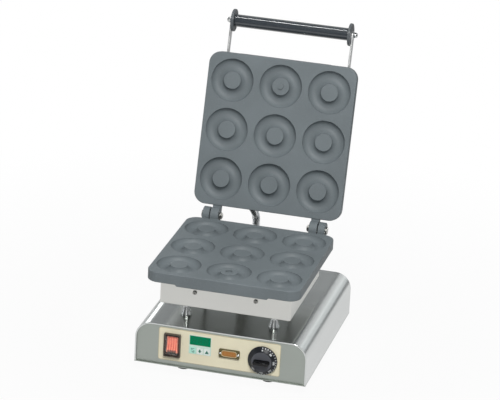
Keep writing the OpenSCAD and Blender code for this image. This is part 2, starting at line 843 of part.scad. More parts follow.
// A key cap, guided by its opening and held by a flange behind the panel
module key_cap(place) {
  at_panel(display_x + place * key_pitch, key_z, overlay_thickness + key_out) {
    upright(0, key_out + overlay_thickness + sheet + 1.4) rounded(key_w, key_h, 0.8);
    upright(key_out + overlay_thickness + sheet + 0.3, key_flange) square([key_w, key_flange_h], center = true);
    upright(key_out + overlay_thickness + sheet, -key_stem_back - sheet) square([4, 4], center = true);
  }
}

module key_set() {
  color("mediumaquamarine") key_cap(-1);
}

module key_down() {
  color("white") key_cap(0);
}

module key_up() {
  color("white") key_cap(1);
}

function lamp_screw_x() = (lamp_w + lens_w) / 4 + 0.2;

module lamp_bezel() {
  color("darkolivegreen") at_panel(lamp_x, lamp_z, overlay_thickness + lamp_out) difference() {
    upright(0, lamp_out) rounded(lamp_w, lamp_h, 2.5);
    upright(-eps, lamp_out + 2 * eps) rounded(lens_w + 2 * loose, lens_h + 2 * loose, 3);
    for (side = [-1, 1]) translate([side * lamp_screw_x(), -eps, 0]) rod_y(2.4, lamp_out + 2 * eps);
  }
}

// Amber lens with a ribbed face, and the lamp block behind it
module lamp_lens() {
  out = overlay_thickness + lamp_out + 1;
  rib_pitch = lens_w / 12;
  color("orange") at_panel(lamp_x, lamp_z, out) {
    upright(0.5, out - overlay_thickness - 0.5) rounded(lens_w, lens_h, 2.8);
    for (i = [-4 : 4]) translate([i * rib_pitch, 0, 0]) upright(0, 1) square([rib_pitch / 2, lens_h - 2.5], center = true);
    upright(out - overlay_thickness - eps, 18) rounded(lens_w - 2, lens_h - 2, 1.5);
  }
}

module lamp_screws() {
  color("white") for (side = [-1, 1])
    at_panel(lamp_x + side * lamp_screw_x(), lamp_z, overlay_thickness + lamp_out) rotate([90, 0, 0]) pan_screw(2, 7);
}

module thermostat() {
  color("whitesmoke") at_panel(knob_x, knob_z, 0) difference() {
    union() {
      upright(sheet, 2) rounded(thermostat_size, 16, 3);
      upright(sheet + 1.5, thermostat_depth) rounded(thermostat_size - 3, thermostat_size - 3, 4);
      translate([0, sheet - sheet - overlay_thickness, 0]) rod_y(hub_d, sheet + overlay_thickness + 2);
    }
    translate([0, -2, 0]) rod_y(shaft_d + 2 * pin_clearance, 24);
    for (side = [-1, 1]) translate([side * thermostat_screw_pitch / 2, sheet - eps, 0]) rod_y(4.2, 12);
  }
}

module thermostat_screws() {
  color("gainsboro") at_panel(knob_x, knob_z, 0) for (side = [-1, 1])
    translate([side * thermostat_screw_pitch / 2, 0, 0]) {
      rod_y(4, 9);
      translate([0, -1.2, 0]) rod_y(7.6, 1.2);
    }
}

module thermostat_shaft() {
  color("gainsboro") at_panel(knob_x, knob_z, knob_off + knob_h - 2) difference() {
    rod_y(shaft_d, knob_off + knob_h + 16);
    translate([-shaft_d, -eps, shaft_d / 2 - 1]) cube([2 * shaft_d, knob_h - 2, shaft_d]);
  }
}

// Round skirt with a sloping scale ring, and the grip bar across it
module thermostat_knob() {
  rim = 2.5;
  top_r = knob_d / 2 - 7;
  color("black") at_panel(knob_x, knob_z, knob_off) difference() {
    union() {
      rotate([90, 0, 0]) rotate_extrude() polygon([
        [0, 0], [knob_d / 2, 0], [knob_d / 2, rim], [top_r, knob_h - 1], [top_r - 1, knob_h], [0, knob_h]
      ]);
      rotate([90, 0, 0]) linear_extrude(knob_h + knob_bar_h) rounded(knob_bar_l, knob_bar_t, 2);
    }
    translate([0, -knob_h + 2, 0]) difference() {
      translate([0, -0.3, 0]) rod_y(shaft_d + 2 * pin_clearance, knob_h);
      translate([-shaft_d, -eps - 0.3, shaft_d / 2 - 1 + pin_clearance]) cube([2 * shaft_d, knob_h - 2, shaft_d]);
    }
    translate([0, -2, 0]) difference() {
      rod_y(knob_d - 5, 2 + eps);
      translate([0, -eps, 0]) rod_y(hub_d + 3, 3 + 2 * eps);
    }
    translate([0, -0.6 + overlay_thickness - knob_off + 1.2, 0]) rod_y(hub_d + 1, 2);
  }
}

module terminal_block() {
  poles = 6;
  pole = 10;
  block_w = poles * pole;
  block_d = 22;
  block_h = 18;
  groove = 1.2;
  side_inset = 50;
  color("ivory") translate([base_width / 2 - side_inset - block_w, base_y + base_depth * 0.18, floor_top]) difference() {
    translate([0, -block_d / 2, 0]) cube([block_w, block_d, block_h]);
    for (i = [0 : poles - 1], side = [-1, 1]) translate([(i + 0.5) * pole, side * 6, 10]) cylinder(d = 6, h = block_h);
    for (i = [1 : poles - 1]) translate([i * pole - groove / 2, -block_d, block_h - 5])
      cube([groove, 2 * block_d, block_h]);
  }
}

module mains_gland() {
  color("dimgray") translate([mains_gland_x, base_rear - panel_inset - sheet, mains_gland_z]) difference() {
    union() {
      translate([0, -6, 0]) rod_y(15.6, 10 + sheet);
      translate([0, sheet, 0]) rotate([-90, 0, 0]) cylinder(d = 22, h = 6, $fn = 6);
      translate([0, sheet + 6, 0]) rotate([-90, 0, 0]) cylinder(d1 = 19, d2 = 13, h = 9);
      translate([0, -5, 0]) rotate([-90, 0, 0]) cylinder(d = 22, h = 5, $fn = 6);
    }
    translate([0, -7, 0]) rod_y(mains_cord_d, 30);
  }
}

// ---- Between base and lower plate ----

module standoff_places() {
  translate([0, plate_y, 0]) four(standoff_spacing_x, standoff_spacing_y) children();
}

module standoffs() {
  foot_h = 2;
  color("gainsboro") standoff_places() translate([0, 0, base_height]) rotate_extrude() polygon([
    [bolt_d / 2 + bolt_clearance, 0], [standoff_foot_d / 2, 0], [standoff_foot_d / 2, foot_h],
    [standoff_neck_d / 2, standoff_flare], [standoff_neck_d / 2, standoff_height - 3],
    [standoff_neck_d / 2 + 1.5, standoff_height - 1.5], [standoff_neck_d / 2 + 1.5, standoff_height],
    [bolt_d / 2 + bolt_clearance, standoff_height]
  ]);
}

module standoff_bolts() {
  color("gainsboro") standoff_places() translate([0, 0, base_height - sheet])
    hex_screw(bolt_d, sheet + standoff_height + box_sheet + weld_nut_h + 1, bolt_head_d, bolt_head_h);
}

module wiring_tube() {
  color("gainsboro") translate([0, wiring_tube_y, base_height - sheet - 4])
    ring(wiring_tube_d, wiring_tube_d - 4, sheet + 4 + standoff_height + box_sheet + 4);
  color("gainsboro") translate([0, wiring_tube_y, base_height])
    ring(wiring_tube_d + 8, wiring_tube_d - 1, 3, 6);
}

module base_gland() {
  color("gainsboro") translate([conduit_base[0], conduit_base[1], base_height]) gland();
}

// Hexagon body with a socket for the conduit, its flat face at z = 0
module gland() {
  color("gainsboro") difference() {
    union() {
      cylinder(d = gland_d + 2, h = gland_h * 0.6, $fn = 6);
      cylinder(d = gland_d - 1, h = gland_h);
      translate([0, 0, -5]) cylinder(d = gland_d - 5.4, h = 5 + eps);
    }
    translate([0, 0, gland_h * 0.4]) cylinder(d = conduit_d + 2 * loose, h = gland_h);
    translate([0, 0, -6]) cylinder(d = conduit_d - 4, h = gland_h + 6);
  }
}

// ---- Conduit ----

// Its middle line: straight into both glands, with the slack bulging to the rear between them
function conduit_point(t) = let (
    way = conduit_lid - conduit_base,
    slack = conduit_bulge * (1 - cos(360 * t)) / 2,
    end_lean = (way[2] * tan(lid_lean) - way[1]) * (t * t * t - t * t),
    start_lean = -way[1] * (t * t * t - 2 * t * t + t)
  ) conduit_base + t * way + [0, slack + end_lean + start_lean, 0];

function conduit_ring(centre, along) = let (
    side = cross(along, [1, 0, 0]) / norm(cross(along, [1, 0, 0])),
    across = cross(side, along) / norm(along)
  ) [for (i = [0 : conduit_sides - 1])
      centre + conduit_d / 2 * (cos(i * 360 / conduit_sides) * side + sin(i * 360 / conduit_sides) * across)];

module conduit() {
  step = 0.01;
  lead = gland_h * 0.5;
  lid_way = [0, sin(lid_lean), cos(lid_lean)];
  rings = [
    conduit_ring(conduit_base - [0, 0, lead], [0, 0, 1]),
    for (i = [0 : conduit_rings])
      let (t = i / conduit_rings)
        conduit_ring(conduit_point(t), conduit_point(min(t + step, 1)) - conduit_point(max(t - step, 0))),
    conduit_ring(conduit_lid + lead * lid_way, lid_way)
  ];
  points = [for (ring_points = rings) each ring_points];
  last = len(rings) - 1;
  sides = [for (r = [0 : last - 1], i = [0 : conduit_sides - 1]) let (j = (i + 1) % conduit_sides)
      [r * conduit_sides + i, (r + 1) * conduit_sides + i, (r + 1) * conduit_sides + j, r * conduit_sides + j]];
  start = [for (i = [0 : conduit_sides - 1]) i];
  end = [for (i = [conduit_sides - 1 : -1 : 0]) last * conduit_sides + i];
  color("lightgray") polyhedron(points, concat([start], sides, [end]), convexity = 4);
}

// ---- Lower unit ----

module lower_plate() {
  color("slategray") lower_unit() difference() {
    casting(lower_box_w) both_sides() knuckle(outer_knuckle_x, outer_knuckle_w);
    locating_socket();
  }
}

module lower_element() {
  color("dimgray") lower_unit() element(lower_box_w);
}

module lower_clamp() {
  color("lightgray") lower_unit() clamp(lower_box_w);
}

module lower_clamp_screws() {
  color("gainsboro") lower_unit() clamp_screws(lower_box_w);
}

module lower_wool() {
  color("khaki") lower_unit() wool(lower_box_w, lower_box_height, 6);
}

module lower_box() {
  floor_z = -plate_thickness - lower_box_height;
  color("whitesmoke") lower_unit() difference() {
    union() {
      heater_box(lower_box_w, lower_box_height);
      four(standoff_spacing_x, standoff_spacing_y) translate([0, 0, floor_z]) cylinder(d = weld_nut_d, h = weld_nut_h);
    }
    box_screw_holes();
    four(standoff_spacing_x, standoff_spacing_y) translate([0, 0, floor_z - eps])
      cylinder(d = bolt_d + bolt_clearance, h = 8);
    translate([0, wiring_tube_y - plate_y, floor_z - eps]) cylinder(d = wiring_tube_d + bolt_clearance, h = 4);
  }
}

module lower_box_screws() {
  color("gainsboro") lower_unit() box_screws();
}

module hinge_pins() {
  head_h = 3;
  start = inner_knuckle_x - 5.5;
  color("gainsboro") both_sides() translate([0, hinge_y, parting_height]) {
    rod_x(pin_d, start, outer_knuckle_x + outer_knuckle_w - start);
    rod_x(pin_d + 5, outer_knuckle_x + outer_knuckle_w, head_h);
  }
}

module hinge_nuts() {
  nut_d = pin_d + 5;
  nut_h = 4;
  color("gainsboro") both_sides() translate([inner_knuckle_x - seat_gap - nut_h, hinge_y, parting_height])
    rotate([0, 90, 0]) ring(nut_d, pin_bore_d, nut_h, 6);
}

// ---- Lid unit ----

// The lid's knuckle, with the heel that meets the lower casting when the lid stands open
module heeled_knuckle() {
  knuckle(inner_knuckle_x, inner_knuckle_w);
  translate([inner_knuckle_x, lid_middle, plate_gap / 2]) cube([inner_knuckle_w, heel_length, heel_depth]);
}

module lid_plate() {
  color("slategray") lid_unit() {
    casting(lid_box_w) both_sides() heeled_knuckle();
    locating_pin();
  }
}

module lid_element() {
  color("dimgray") lid_unit() element(lid_box_w);
}

module lid_clamp() {
  color("lightgray") lid_unit() clamp(lid_box_w);
}

module lid_clamp_screws() {
  color("gainsboro") lid_unit() clamp_screws(lid_box_w);
}

module lid_wool() {
  color("khaki") lid_unit() wool(lid_box_w, lid_box_height, 6);
}

module lid_box() {
  color("whitesmoke") difference() {
    union() {
      lid_unit() heater_box(lid_box_w, lid_box_height);
      bar_screw_places() translate([0, 0, -box_sheet - weld_nut_h]) cylinder(d = weld_nut_d - 3, h = weld_nut_h + eps);
    }
    lid_unit() box_screw_holes();
    bar_screw_places() translate([0, 0, -box_sheet - weld_nut_h - eps])
      cylinder(d = sheet_screw_d + bolt_clearance, h = box_sheet + weld_nut_h + 2 * eps);
    lid_gland_place() translate([0, 0, -box_sheet - eps]) cylinder(d = gland_d - 5, h = box_sheet + 2 * eps);
  }
}

module lid_box_screws() {
  color("gainsboro") lid_unit() box_screws();
}

// On the lid box's hinge-side wall, pointing away from it
module lid_gland_place() {
  on_lid() translate([conduit_lid_x, -lid_middle + box_depth / 2, handle_lift]) rotate([-90, 0, 0]) children();
}

module lid_gland() {
  color("gainsboro") lid_gland_place() gland();
}

// ---- Handle ----

// The grip's axis, in the shut lid's frame
module at_grip() {
  on_lid() translate([0, -handle_reach, handle_lift]) children();
}

// On the outer face of both box sides, pointing outwards
module bar_screw_places() {
  for (side = [-1, 1], i = [0, 1])
    on_lid() translate([side * bar_x, -bar_end - bar_width / 2 - i * bar_screw_pitch - 8, handle_lift])
      rotate([0, side * 90, 0]) children();
}

module handle_bar(side) {
  length = handle_reach - bar_end;
  difference() {
    on_lid() translate([side > 0 ? bar_x : -bar_x - bar_thickness, -handle_reach, handle_lift])
      rotate([90, 0, 90]) linear_extrude(bar_thickness) {
        circle(d = bar_width);
        translate([0, -bar_width / 2]) square([length, bar_width]);
      }
    bar_screw_places() translate([0, 0, -eps]) cylinder(d = sheet_screw_d + bolt_clearance, h = bar_thickness + 2 * eps);
    at_grip() rod_x(rod_d + bolt_clearance, -bar_x - 10, 2 * bar_x + 20);
  }
}

module handle_bar_left() {
  color("gainsboro") handle_bar(-1);
}

module handle_bar_right() {
  color("gainsboro") handle_bar(1);
}

module bar_screws() {
  color("gainsboro") bar_screw_places() translate([0, 0, bar_thickness])
    pan_screw(sheet_screw_d, bar_thickness + box_sheet + weld_nut_h - 1);
}

module handle_guards() {
  edge = 1.2;
  color("dimgray") at_grip() both_sides() translate([guard_x, 0, 0]) rotate([0, 90, 0]) rotate_extrude() polygon([
    [rod_d / 2 + bolt_clearance, 0], [guard_d / 2 - edge, 0], [guard_d / 2, edge],
    [guard_d / 2, guard_thickness - edge], [guard_d / 2 - edge, guard_thickness],
    [rod_d / 2 + bolt_clearance, guard_thickness]
  ]);
}

module handle_grip() {
  color("black") at_grip() rotate([0, 90, 0]) translate([0, 0, -guard_x]) ring(grip_d, rod_d + 2 * bolt_clearance, 2 * guard_x);
}

module handle_rod() {
  reach = bar_x + bar_thickness + 6;
  color("gainsboro") at_grip() rod_x(rod_d, -reach, 2 * reach);
}

module handle_nuts() {
  nut_h = 7;
  color("gainsboro") at_grip() both_sides() translate([bar_x + bar_thickness, 0, 0]) rotate([0, 90, 0]) difference() {
    union() {
      cylinder(d = 14, h = nut_h - 2, $fn = 6);
      cylinder(d1 = 12, d2 = 9, h = nut_h + 2);
    }
    translate([0, 0, -eps]) cylinder(d = rod_d + 2 * pin_clearance, h = nut_h + eps);
  }
}

base_cover();
front_panel();
rear_panel();
bottom_plate();
bottom_screws();
rubber_feet();
foot_screws();
control_overlay();
switch_frame();
switch_housing();
splash_cap();
switch_rocker();
display_window();
timer_board();
key_set();
key_down();
key_up();
lamp_bezel();
lamp_lens();
lamp_screws();
thermostat();
thermostat_screws();
thermostat_shaft();
thermostat_knob();
terminal_block();
mains_gland();
wiring_tube();
standoffs();
standoff_bolts();
lower_plate();
lower_element();
lower_clamp();
lower_clamp_screws();
lower_wool();
lower_box();
lower_box_screws();
hinge_pins();
hinge_nuts();
base_gland();
conduit();
lid_plate();
lid_element();
lid_clamp();
lid_clamp_screws();
lid_wool();
lid_box();
lid_box_screws();
lid_gland();
handle_bar_left();
handle_bar_right();
bar_screws();
handle_guards();
handle_grip();
handle_rod();
handle_nuts();
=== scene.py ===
"""Looks for a tabletop donut maker with two ring-mould castings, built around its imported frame.

Lengths are in millimetres until a form becomes a mesh, in the frame's own axes:
+X is the user's right, -Y the front and +Z up, with the lid standing open.
"""

import functools
import json
import math

import bmesh
import bpy
import numpy as np
from bpy.props import FloatProperty, FloatVectorProperty, PointerProperty
from mathutils import Matrix, Vector


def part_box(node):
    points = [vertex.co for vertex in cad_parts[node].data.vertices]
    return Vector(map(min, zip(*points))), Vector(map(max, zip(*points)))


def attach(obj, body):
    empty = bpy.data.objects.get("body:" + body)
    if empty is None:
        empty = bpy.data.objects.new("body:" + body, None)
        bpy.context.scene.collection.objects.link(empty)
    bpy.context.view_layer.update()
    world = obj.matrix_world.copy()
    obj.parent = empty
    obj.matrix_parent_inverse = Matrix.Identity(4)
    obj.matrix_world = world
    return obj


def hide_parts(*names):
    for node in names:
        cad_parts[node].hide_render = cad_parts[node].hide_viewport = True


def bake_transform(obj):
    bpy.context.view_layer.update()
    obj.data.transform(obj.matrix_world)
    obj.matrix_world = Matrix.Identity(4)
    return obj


bl_info = {
    "name": "Donut maker looks",
    "version": (1, 0, 0),
    "blender": (4, 5, 0),
    "location": "View3D > Sidebar > Donut maker",
    "description": "Builds the visible pieces and finishes of a ring baker around its packed frame",
    "category": "Object",
}

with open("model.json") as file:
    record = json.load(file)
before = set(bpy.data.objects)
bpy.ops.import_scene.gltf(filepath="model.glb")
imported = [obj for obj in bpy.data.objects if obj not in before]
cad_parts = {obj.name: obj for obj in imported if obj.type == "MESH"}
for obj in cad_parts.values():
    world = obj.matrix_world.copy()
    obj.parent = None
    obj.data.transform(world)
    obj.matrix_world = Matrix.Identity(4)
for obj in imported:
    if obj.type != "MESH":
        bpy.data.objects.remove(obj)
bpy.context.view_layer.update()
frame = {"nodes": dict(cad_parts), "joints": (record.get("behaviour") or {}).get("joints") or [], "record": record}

MM = 0.001
SIDES = 64


def span(node):
    """Lowest and highest corner of a frame node, in millimetres."""
    low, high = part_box(node)
    return low / MM, high / MM


def middle(node):
    """Centre of a frame node's box, in millimetres."""
    low, high = span(node)
    return (low + high) / 2


# ---- Places that every piece is built from ----

LID_HINGE = next(joint for joint in frame["joints"] if joint["name"] == "lid_hinge")
HINGE = Vector(LID_HINGE["pos_m"]) / MM
HINGE_SETBACK = 17.7
LID_OPEN = LID_HINGE["range_deg"][1]

PLATE_WIDTH, PLATE_DEPTH, PLATE_THICK = 266.0, 270.0, 15.0
PLATE_GAP = 0.6
PLATE_Y = span("lower_plate")[0].y + PLATE_DEPTH / 2
LID_MIDDLE = PLATE_DEPTH / 2 + HINGE_SETBACK

RING_RADIUS, RING_DEPTH, RIM_STEP = 38.0, 10.5, 1.0
BOSS_RADIUS = 15.25
PIN_RADIUS, PIN_HEIGHT = 5.0, 2.4
COLUMN_PITCH, ROW_PITCH = 87.5, 87.2

BASE_TOP = span("base_cover")[1].z
FEET_APART, STANDOFFS_APART = (150.0, 236.0), (154.0, 129.0)
BOX_DEPTH = 210.0
LOWER_BOX_WIDTH, LOWER_BOX_HEIGHT = 227.6, 52.2
LID_BOX_WIDTH, LID_BOX_HEIGHT = 216.0, 45.0

GRIP_REACH = 343.5
GRIP_LIFT = PLATE_GAP / 2 + PLATE_THICK + LID_BOX_HEIGHT / 2
GRIP_HALF = 103.0
BAR_INSIDE, BAR_THICK, BAR_ON_BOX = 108.0, 3.0, 100.0
BAR_OUTSIDE = BAR_INSIDE + BAR_THICK
BAR_END = LID_MIDDLE + BOX_DEPTH / 2 - BAR_ON_BOX
NUT_SCALE = 0.78

# What stands on the control panel: each middle as (x, z), and how far out each one is seated
PANEL_FRONT = span("front_panel")[0].y
SWITCH, LAMP, KNOB = (-84.3, 58.7), (15.6, 58.2), (74.0, 56.0)
KEY_X, KEY_Z, KEY_PITCH = -36.0, 54.6, 12.4
DISPLAY_Z = 72.9
OVERLAY_OUT, LAMP_OUT, KNOB_OUT = 0.6, 2.8, 1.8


def shift(x=0.0, y=0.0, z=0.0):
    """A move along the axes."""
    return Matrix.Translation((x, y, z))


def turn(degrees, axis):
    """A turn about an axis through the origin."""
    return Matrix.Rotation(math.radians(degrees), 4, axis)


ON_LID = shift(0, HINGE.y, HINGE.z) @ turn(-LID_OPEN, "X")
LOWER_UNIT = shift(0, PLATE_Y, HINGE.z - PLATE_GAP / 2)
LID_UNIT = ON_LID @ shift(0, -LID_MIDDLE, PLATE_GAP / 2) @ Matrix.Diagonal((1, 1, -1, 1))
AT_GRIP = ON_LID @ shift(0, -GRIP_REACH, GRIP_LIFT)
FACE_FRONT = turn(90, "X")
ALONG_X = turn(90, "Y")


def on_panel(x, z, out=0.0):
    """A place on the control panel. The form's own Z then points to the user."""
    return shift(x, PANEL_FRONT - out, z) @ FACE_FRONT


def four(dx, dy):
    """The corners of a rectangle round the origin."""
    return [(x * dx / 2, y * dy / 2) for x in (-1, 1) for y in (-1, 1)]


# ---- Lines and outlines ----


def sweep(start, end, steps):
    """Angles in radians in equal steps between two given in degrees."""
    return [math.radians(start + (end - start) * k / steps) for k in range(steps + 1)]


def polar(radius, angle, x=0.0, y=0.0):
    """The point at an angle on a circle round (x, y)."""
    return x + radius * math.cos(angle), y + radius * math.sin(angle)


def circle(radius, sides=SIDES, x=0.0, y=0.0):
    """A closed line round (x, y)."""
    return [polar(radius, math.tau * i / sides, x, y) for i in range(sides)]


def quarter(radius, steps):
    """A quarter round as (inset, height), from the face to the side."""
    return [(radius * (1 - math.sin(a)), radius * (1 - math.cos(a))) for a in sweep(0, 90, steps)]


def eased(corners, steps=4):
    """A line through corners (x, y, length), each rounded over up to that length of its legs."""
    line = []
    for i, (x, y, length) in enumerate(corners):
        here = Vector((x, y))
        if length <= 0 or i in (0, len(corners) - 1):
            line.append(tuple(here))
            continue
        legs = [Vector(corners[j][:2]) - here for j in (i - 1, i + 1)]
        start, end = (here + leg.normalized() * min(length, leg.length / 2) for leg in legs)
        for k in range(steps + 1):
            t = k / steps
            line.append(tuple(start * (1 - t) ** 2 + here * 2 * t * (1 - t) + end * t * t))
    return line


def rounded(w, h, r, steps=6):
    """Outline of a rectangle with round corners, as a function of how far it is drawn in."""

    def outline(inset=0.0):
        a, b, c = w / 2 - inset, h / 2 - inset, max(r - inset, 0.01)
        points = []
        for cx, cy, start in (
            (a - c, b - c, 0),
            (c - a, b - c, 90),
            (c - a, c - b, 180),
            (a - c, c - b, 270),
        ):
            points += [polar(c, angle, cx, cy) for angle in sweep(start, start + 90, steps)]
        return points

    return outline


# ---- Forms ----


class Form:
    """Points in millimetres and faces, gathered before they become one mesh."""

    def __init__(self, points=(), faces=()):
        self.points = [Vector(p) for p in points]
        self.faces = [list(f) for f in faces]

    def join(self, other, place=None):
        """Takes in another form, moved to its place."""
        start = len(self.points)
        self.points += [place @ p if place else p.copy() for p in other.points]
        self.faces += [[start + i for i in face] for face in other.faces]
        return self

    def placed(self, *places):
        """One copy of the form at each place."""
        copies = Form()
        for place in places:
            copies.join(self, place)
        return copies


def both_sides(form):
    """The form and its mirror image across the middle plane."""
    mirrored = Form([(-p.x, p.y, p.z) for p in form.points], [f[::-1] for f in form.faces])
    return Form(form.points, form.faces).join(mirrored)


def loft(rings, caps=(True, True), looped=False):
    """A skin over rings that have equally many points, closed at its first and its last ring."""
    count = len(rings[0])
    faces = []
    for r in range(len(rings) if looped else len(rings) - 1):
        a, b = r * count, (r + 1) % len(rings) * count
        faces += [[a + i, a + (i + 1) % count, b + (i + 1) % count, b + i] for i in range(count)]
    if caps[0]:
        faces.append(list(range(count))[::-1])
    if caps[1]:
        faces.append(list(range((len(rings) - 1) * count, len(rings) * count)))
    return Form([p for ring in rings for p in ring], faces)


def stacked(outline, levels, **how):
    """A loft through (inset, height) levels of one outline."""
    return loft([[(x, y, z) for x, y in outline(inset)] for inset, z in levels], **how)


def ring_frame(outline, section):
    """A closed frame that follows an outline; section gives its corners as (inset, height)."""
    return stacked(outline, section, caps=(False, False), looped=True)


def slab(outline, thickness, edge=0.3, steps=3):
    """A plate from z = 0 up, with rounded edges on both faces."""
    low = quarter(edge, steps)
    high = [(inset, thickness - z) for inset, z in reversed(low)]
    return stacked(outline, low + high)


def turned(profile, sides=SIDES, closed=False):
    """A profile of (radius, height) turned about Z."""
    points, rows = [], []
    for radius, height in profile:
        if radius < 1e-6:
            rows.append([len(points)] * sides)
            points.append((0, 0, height))
        else:
            rows.append(list(range(len(points), len(points) + sides)))
            points += [(x, y, height) for x, y in circle(radius, sides)]
    faces = []
    for a, b in zip(rows, rows[1:] + rows[:1] if closed else rows[1:]):
        for i in range(sides):
            j = (i + 1) % sides
            # On the axis a row's points are all one, and the face is a triangle
            faces.append(list(dict.fromkeys((a[i], a[j], b[j], b[i]))))
    return Form(points, faces)


def extruded(line, x, length):
    """A closed line in the YZ plane, drawn out along +X."""
    return loft([[(x, y, z) for y, z in line], [(x + length, y, z) for y, z in line]])


def pierced(outer, holes, z=0.0):
    """A flat face with holes."""
    bm = bmesh.new()
    for line in [outer, *holes]:
        verts = [bm.verts.new((x, y, z)) for x, y in line]
        for a, b in zip(verts, verts[1:] + verts[:1]):
            bm.edges.new((a, b))
    bmesh.ops.triangle_fill(
        bm, use_beauty=True, use_dissolve=False, edges=bm.edges[:], normal=(0, 0, 1)
    )
    bm.verts.index_update()
    form = Form([v.co.copy() for v in bm.verts], [[v.index for v in f.verts] for f in bm.faces])
    bm.free()
    return form


def pierced_slab(outer, holes, thickness):
    """A thin plate with holes, from z = 0 up."""
    form = pierced(outer, holes, thickness).join(pierced(outer, holes))
    for line in [outer, *holes]:
        walls = [[(x, y, z) for x, y in line] for z in (0, thickness)]
        form.join(loft(walls, caps=(False, False)))
    return form


def tube(path, radii, sides):
    """A round tube along 3D points that keep near one YZ plane."""
    rings = []
    path = [Vector(p) for p in path]
    for i, (centre, radius) in enumerate(zip(path, radii)):
        along = (path[min(i + 1, len(path) - 1)] - path[max(i - 1, 0)]).normalized()
        side = along.cross(Vector((1, 0, 0))).normalized()
        across = side.cross(along)
        rings.append([centre + x * side + y * across for x, y in circle(radius, sides)])
    return loft(rings)


def lettering(text, height, thickness):
    """Plain figures, centred on the origin and standing up from z = 0."""
    boldness = 0.04
    curve = bpy.data.curves.new("figures", "FONT")
    curve.body, curve.size, curve.extrude = text, height * MM, thickness / 2 * MM
    curve.align_x, curve.align_y, curve.resolution_u = "CENTER", "CENTER", 3
    curve.offset = height * MM * boldness
    obj = bpy.data.objects.new("figures", curve)
    mesh = bpy.data.meshes.new_from_object(obj)
    lift = Vector((0, 0, thickness / 2))
    form = Form([v.co / MM + lift for v in mesh.vertices], [p.vertices for p in mesh.polygons])
    bpy.data.objects.remove(obj)
    bpy.data.curves.remove(curve)
    bpy.data.meshes.remove(mesh)
    return form


def piece(name, form, body, slot, nodes=(), wears=None, edge=0.0, sharp=42.0, blended=None):
    """The form as an object that rides on a body and stands for some frame nodes.

    It wears the finish of its slot unless wears names another one.
    """
    mesh = bpy.data.meshes.new(name)
    mesh.from_pydata([tuple(p * MM) for p in form.points], [], form.faces)
    bm = bmesh.new()
    bm.from_mesh(mesh)
    bmesh.ops.remove_doubles(bm, verts=bm.verts[:], dist=1e-6)
    bmesh.ops.dissolve_degenerate(bm, dist=1e-7, edges=bm.edges[:])
    bmesh.ops.recalc_face_normals(bm, faces=bm.faces[:])
    bm.to_mesh(mesh)
    bm.free()
    mesh.polygons.foreach_set("use_smooth", [True] * len(mesh.polygons))
    mesh.set_sharp_from_angle(angle=math.radians(sharp))
    mesh.materials.append(finish(wears or slot))
    obj = bpy.data.objects.new(name, mesh)
    bpy.context.scene.collection.objects.link(obj)
    if edge:
        bevel = obj.modifiers.new("rounded edges", "BEVEL")
        bevel.width, bevel.segments, bevel.angle_limit = edge * MM, 3, math.radians(30)
    if blended:
        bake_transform(obj)
    else:
        weighted = obj.modifiers.new("even shading", "WEIGHTED_NORMAL")
        weighted.keep_sharp = not edge
        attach(obj, body)
    if nodes:
        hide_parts(*nodes)
    return obj


# ---- Finishes ----


def tone(red, green, blue):
    """A colour written in 0 to 255 as a screen shows it, in linear light."""
    return tuple(
        v / 12.92 if v <= 0.04045 else ((v + 0.055) / 1.055) ** 2.4
        for v in (red / 255, green / 255, blue / 255)
    )


def look(group):
    """One of the groups of settings that a user may change."""
    return getattr(bpy.context.scene, "donut_maker_" + group)


def shade(colour, factor):
    """A colour times a factor. It is written in 0 to 255, or names a setting as "group.name"."""
    if isinstance(colour, str):
        group, name = colour.split(".")
        colour = getattr(look(group), name)
    else:
        colour = tone(*colour)
    return tuple(min(1.0, c * factor) for c in colour)


class Nodes:
    """A node tree whose helpers hand back what the next one takes."""

    def __init__(self, tree):
        self.tree = tree

    def wire(self, node, inputs):
        """Sets a node's inputs, or joins them to the sockets given."""
        for key, value in inputs.items():
            if isinstance(value, bpy.types.NodeSocket):
                self.tree.links.new(value, node.inputs[key])
            else:
                node.inputs[key].default_value = value
        return node

    def node(self, kind, inputs=None, **settings):
        """A new node's outputs."""
        made = self.tree.nodes.new("ShaderNode" + kind)
        for key, value in settings.items():
            setattr(made, key, value)
        return self.wire(made, inputs or {}).outputs

    def math(self, operation, *values):
        """One sum of the values."""
        return self.node("Math", dict(enumerate(values)), operation=operation)[0]

    def spread(self, value, low, high, start=0.3, end=0.7):
        """The range from start to end, stretched from low to high."""
        ends = {"From Min": start, "From Max": end, "To Min": low, "To Max": high}
        return self.node("MapRange", {"Value": value, **ends})["Result"]


class Finish(Nodes):
    """A node-based material."""

    def __init__(self, name, **sockets):
        self.material = bpy.data.materials.new(name)
        self.material.use_nodes = True
        super().__init__(self.material.node_tree)
        self.shader = self.tree.nodes["Principled BSDF"]
        self.coords = self.node("TexCoord")["Object"]
        self.wire(self.shader, {key.replace("_", " "): value for key, value in sockets.items()})

    def noise(self, scale, stretch=(1, 1, 1), detail=3.0, rough=0.55):
        """A noise in the object's own space, denser along an axis that is stretched more."""
        mapped = self.node("Mapping", {"Vector": self.coords, "Scale": stretch})[0]
        grain = {"Vector": mapped, "Scale": scale, "Detail": detail, "Roughness": rough}
        return self.node("TexNoise", grain)["Fac"]

    def blend(self, factor, first, second):
        """Between two colours, each a socket or a tuple."""
        first, second = ((*c, 1) if isinstance(c, tuple) else c for c in (first, second))
        return self.node("Mix", {0: factor, 6: first, 7: second}, data_type="RGBA")[2]

    def clouded(self, noise, colour, low, high):
        """The colour between two factors of itself."""
        return self.blend(self.spread(noise, 0, 1), shade(colour, low), shade(colour, high))

    def done(self, colour, roughness, height, strength, depth):
        """The finished material, with a relief of that depth in millimetres."""
        relief = {"Height": height, "Strength": strength, "Distance": depth * MM}
        normal = self.node("Bump", relief)["Normal"]
        self.wire(self.shader, {"Base Color": colour, "Roughness": roughness, "Normal": normal})
        return self.material


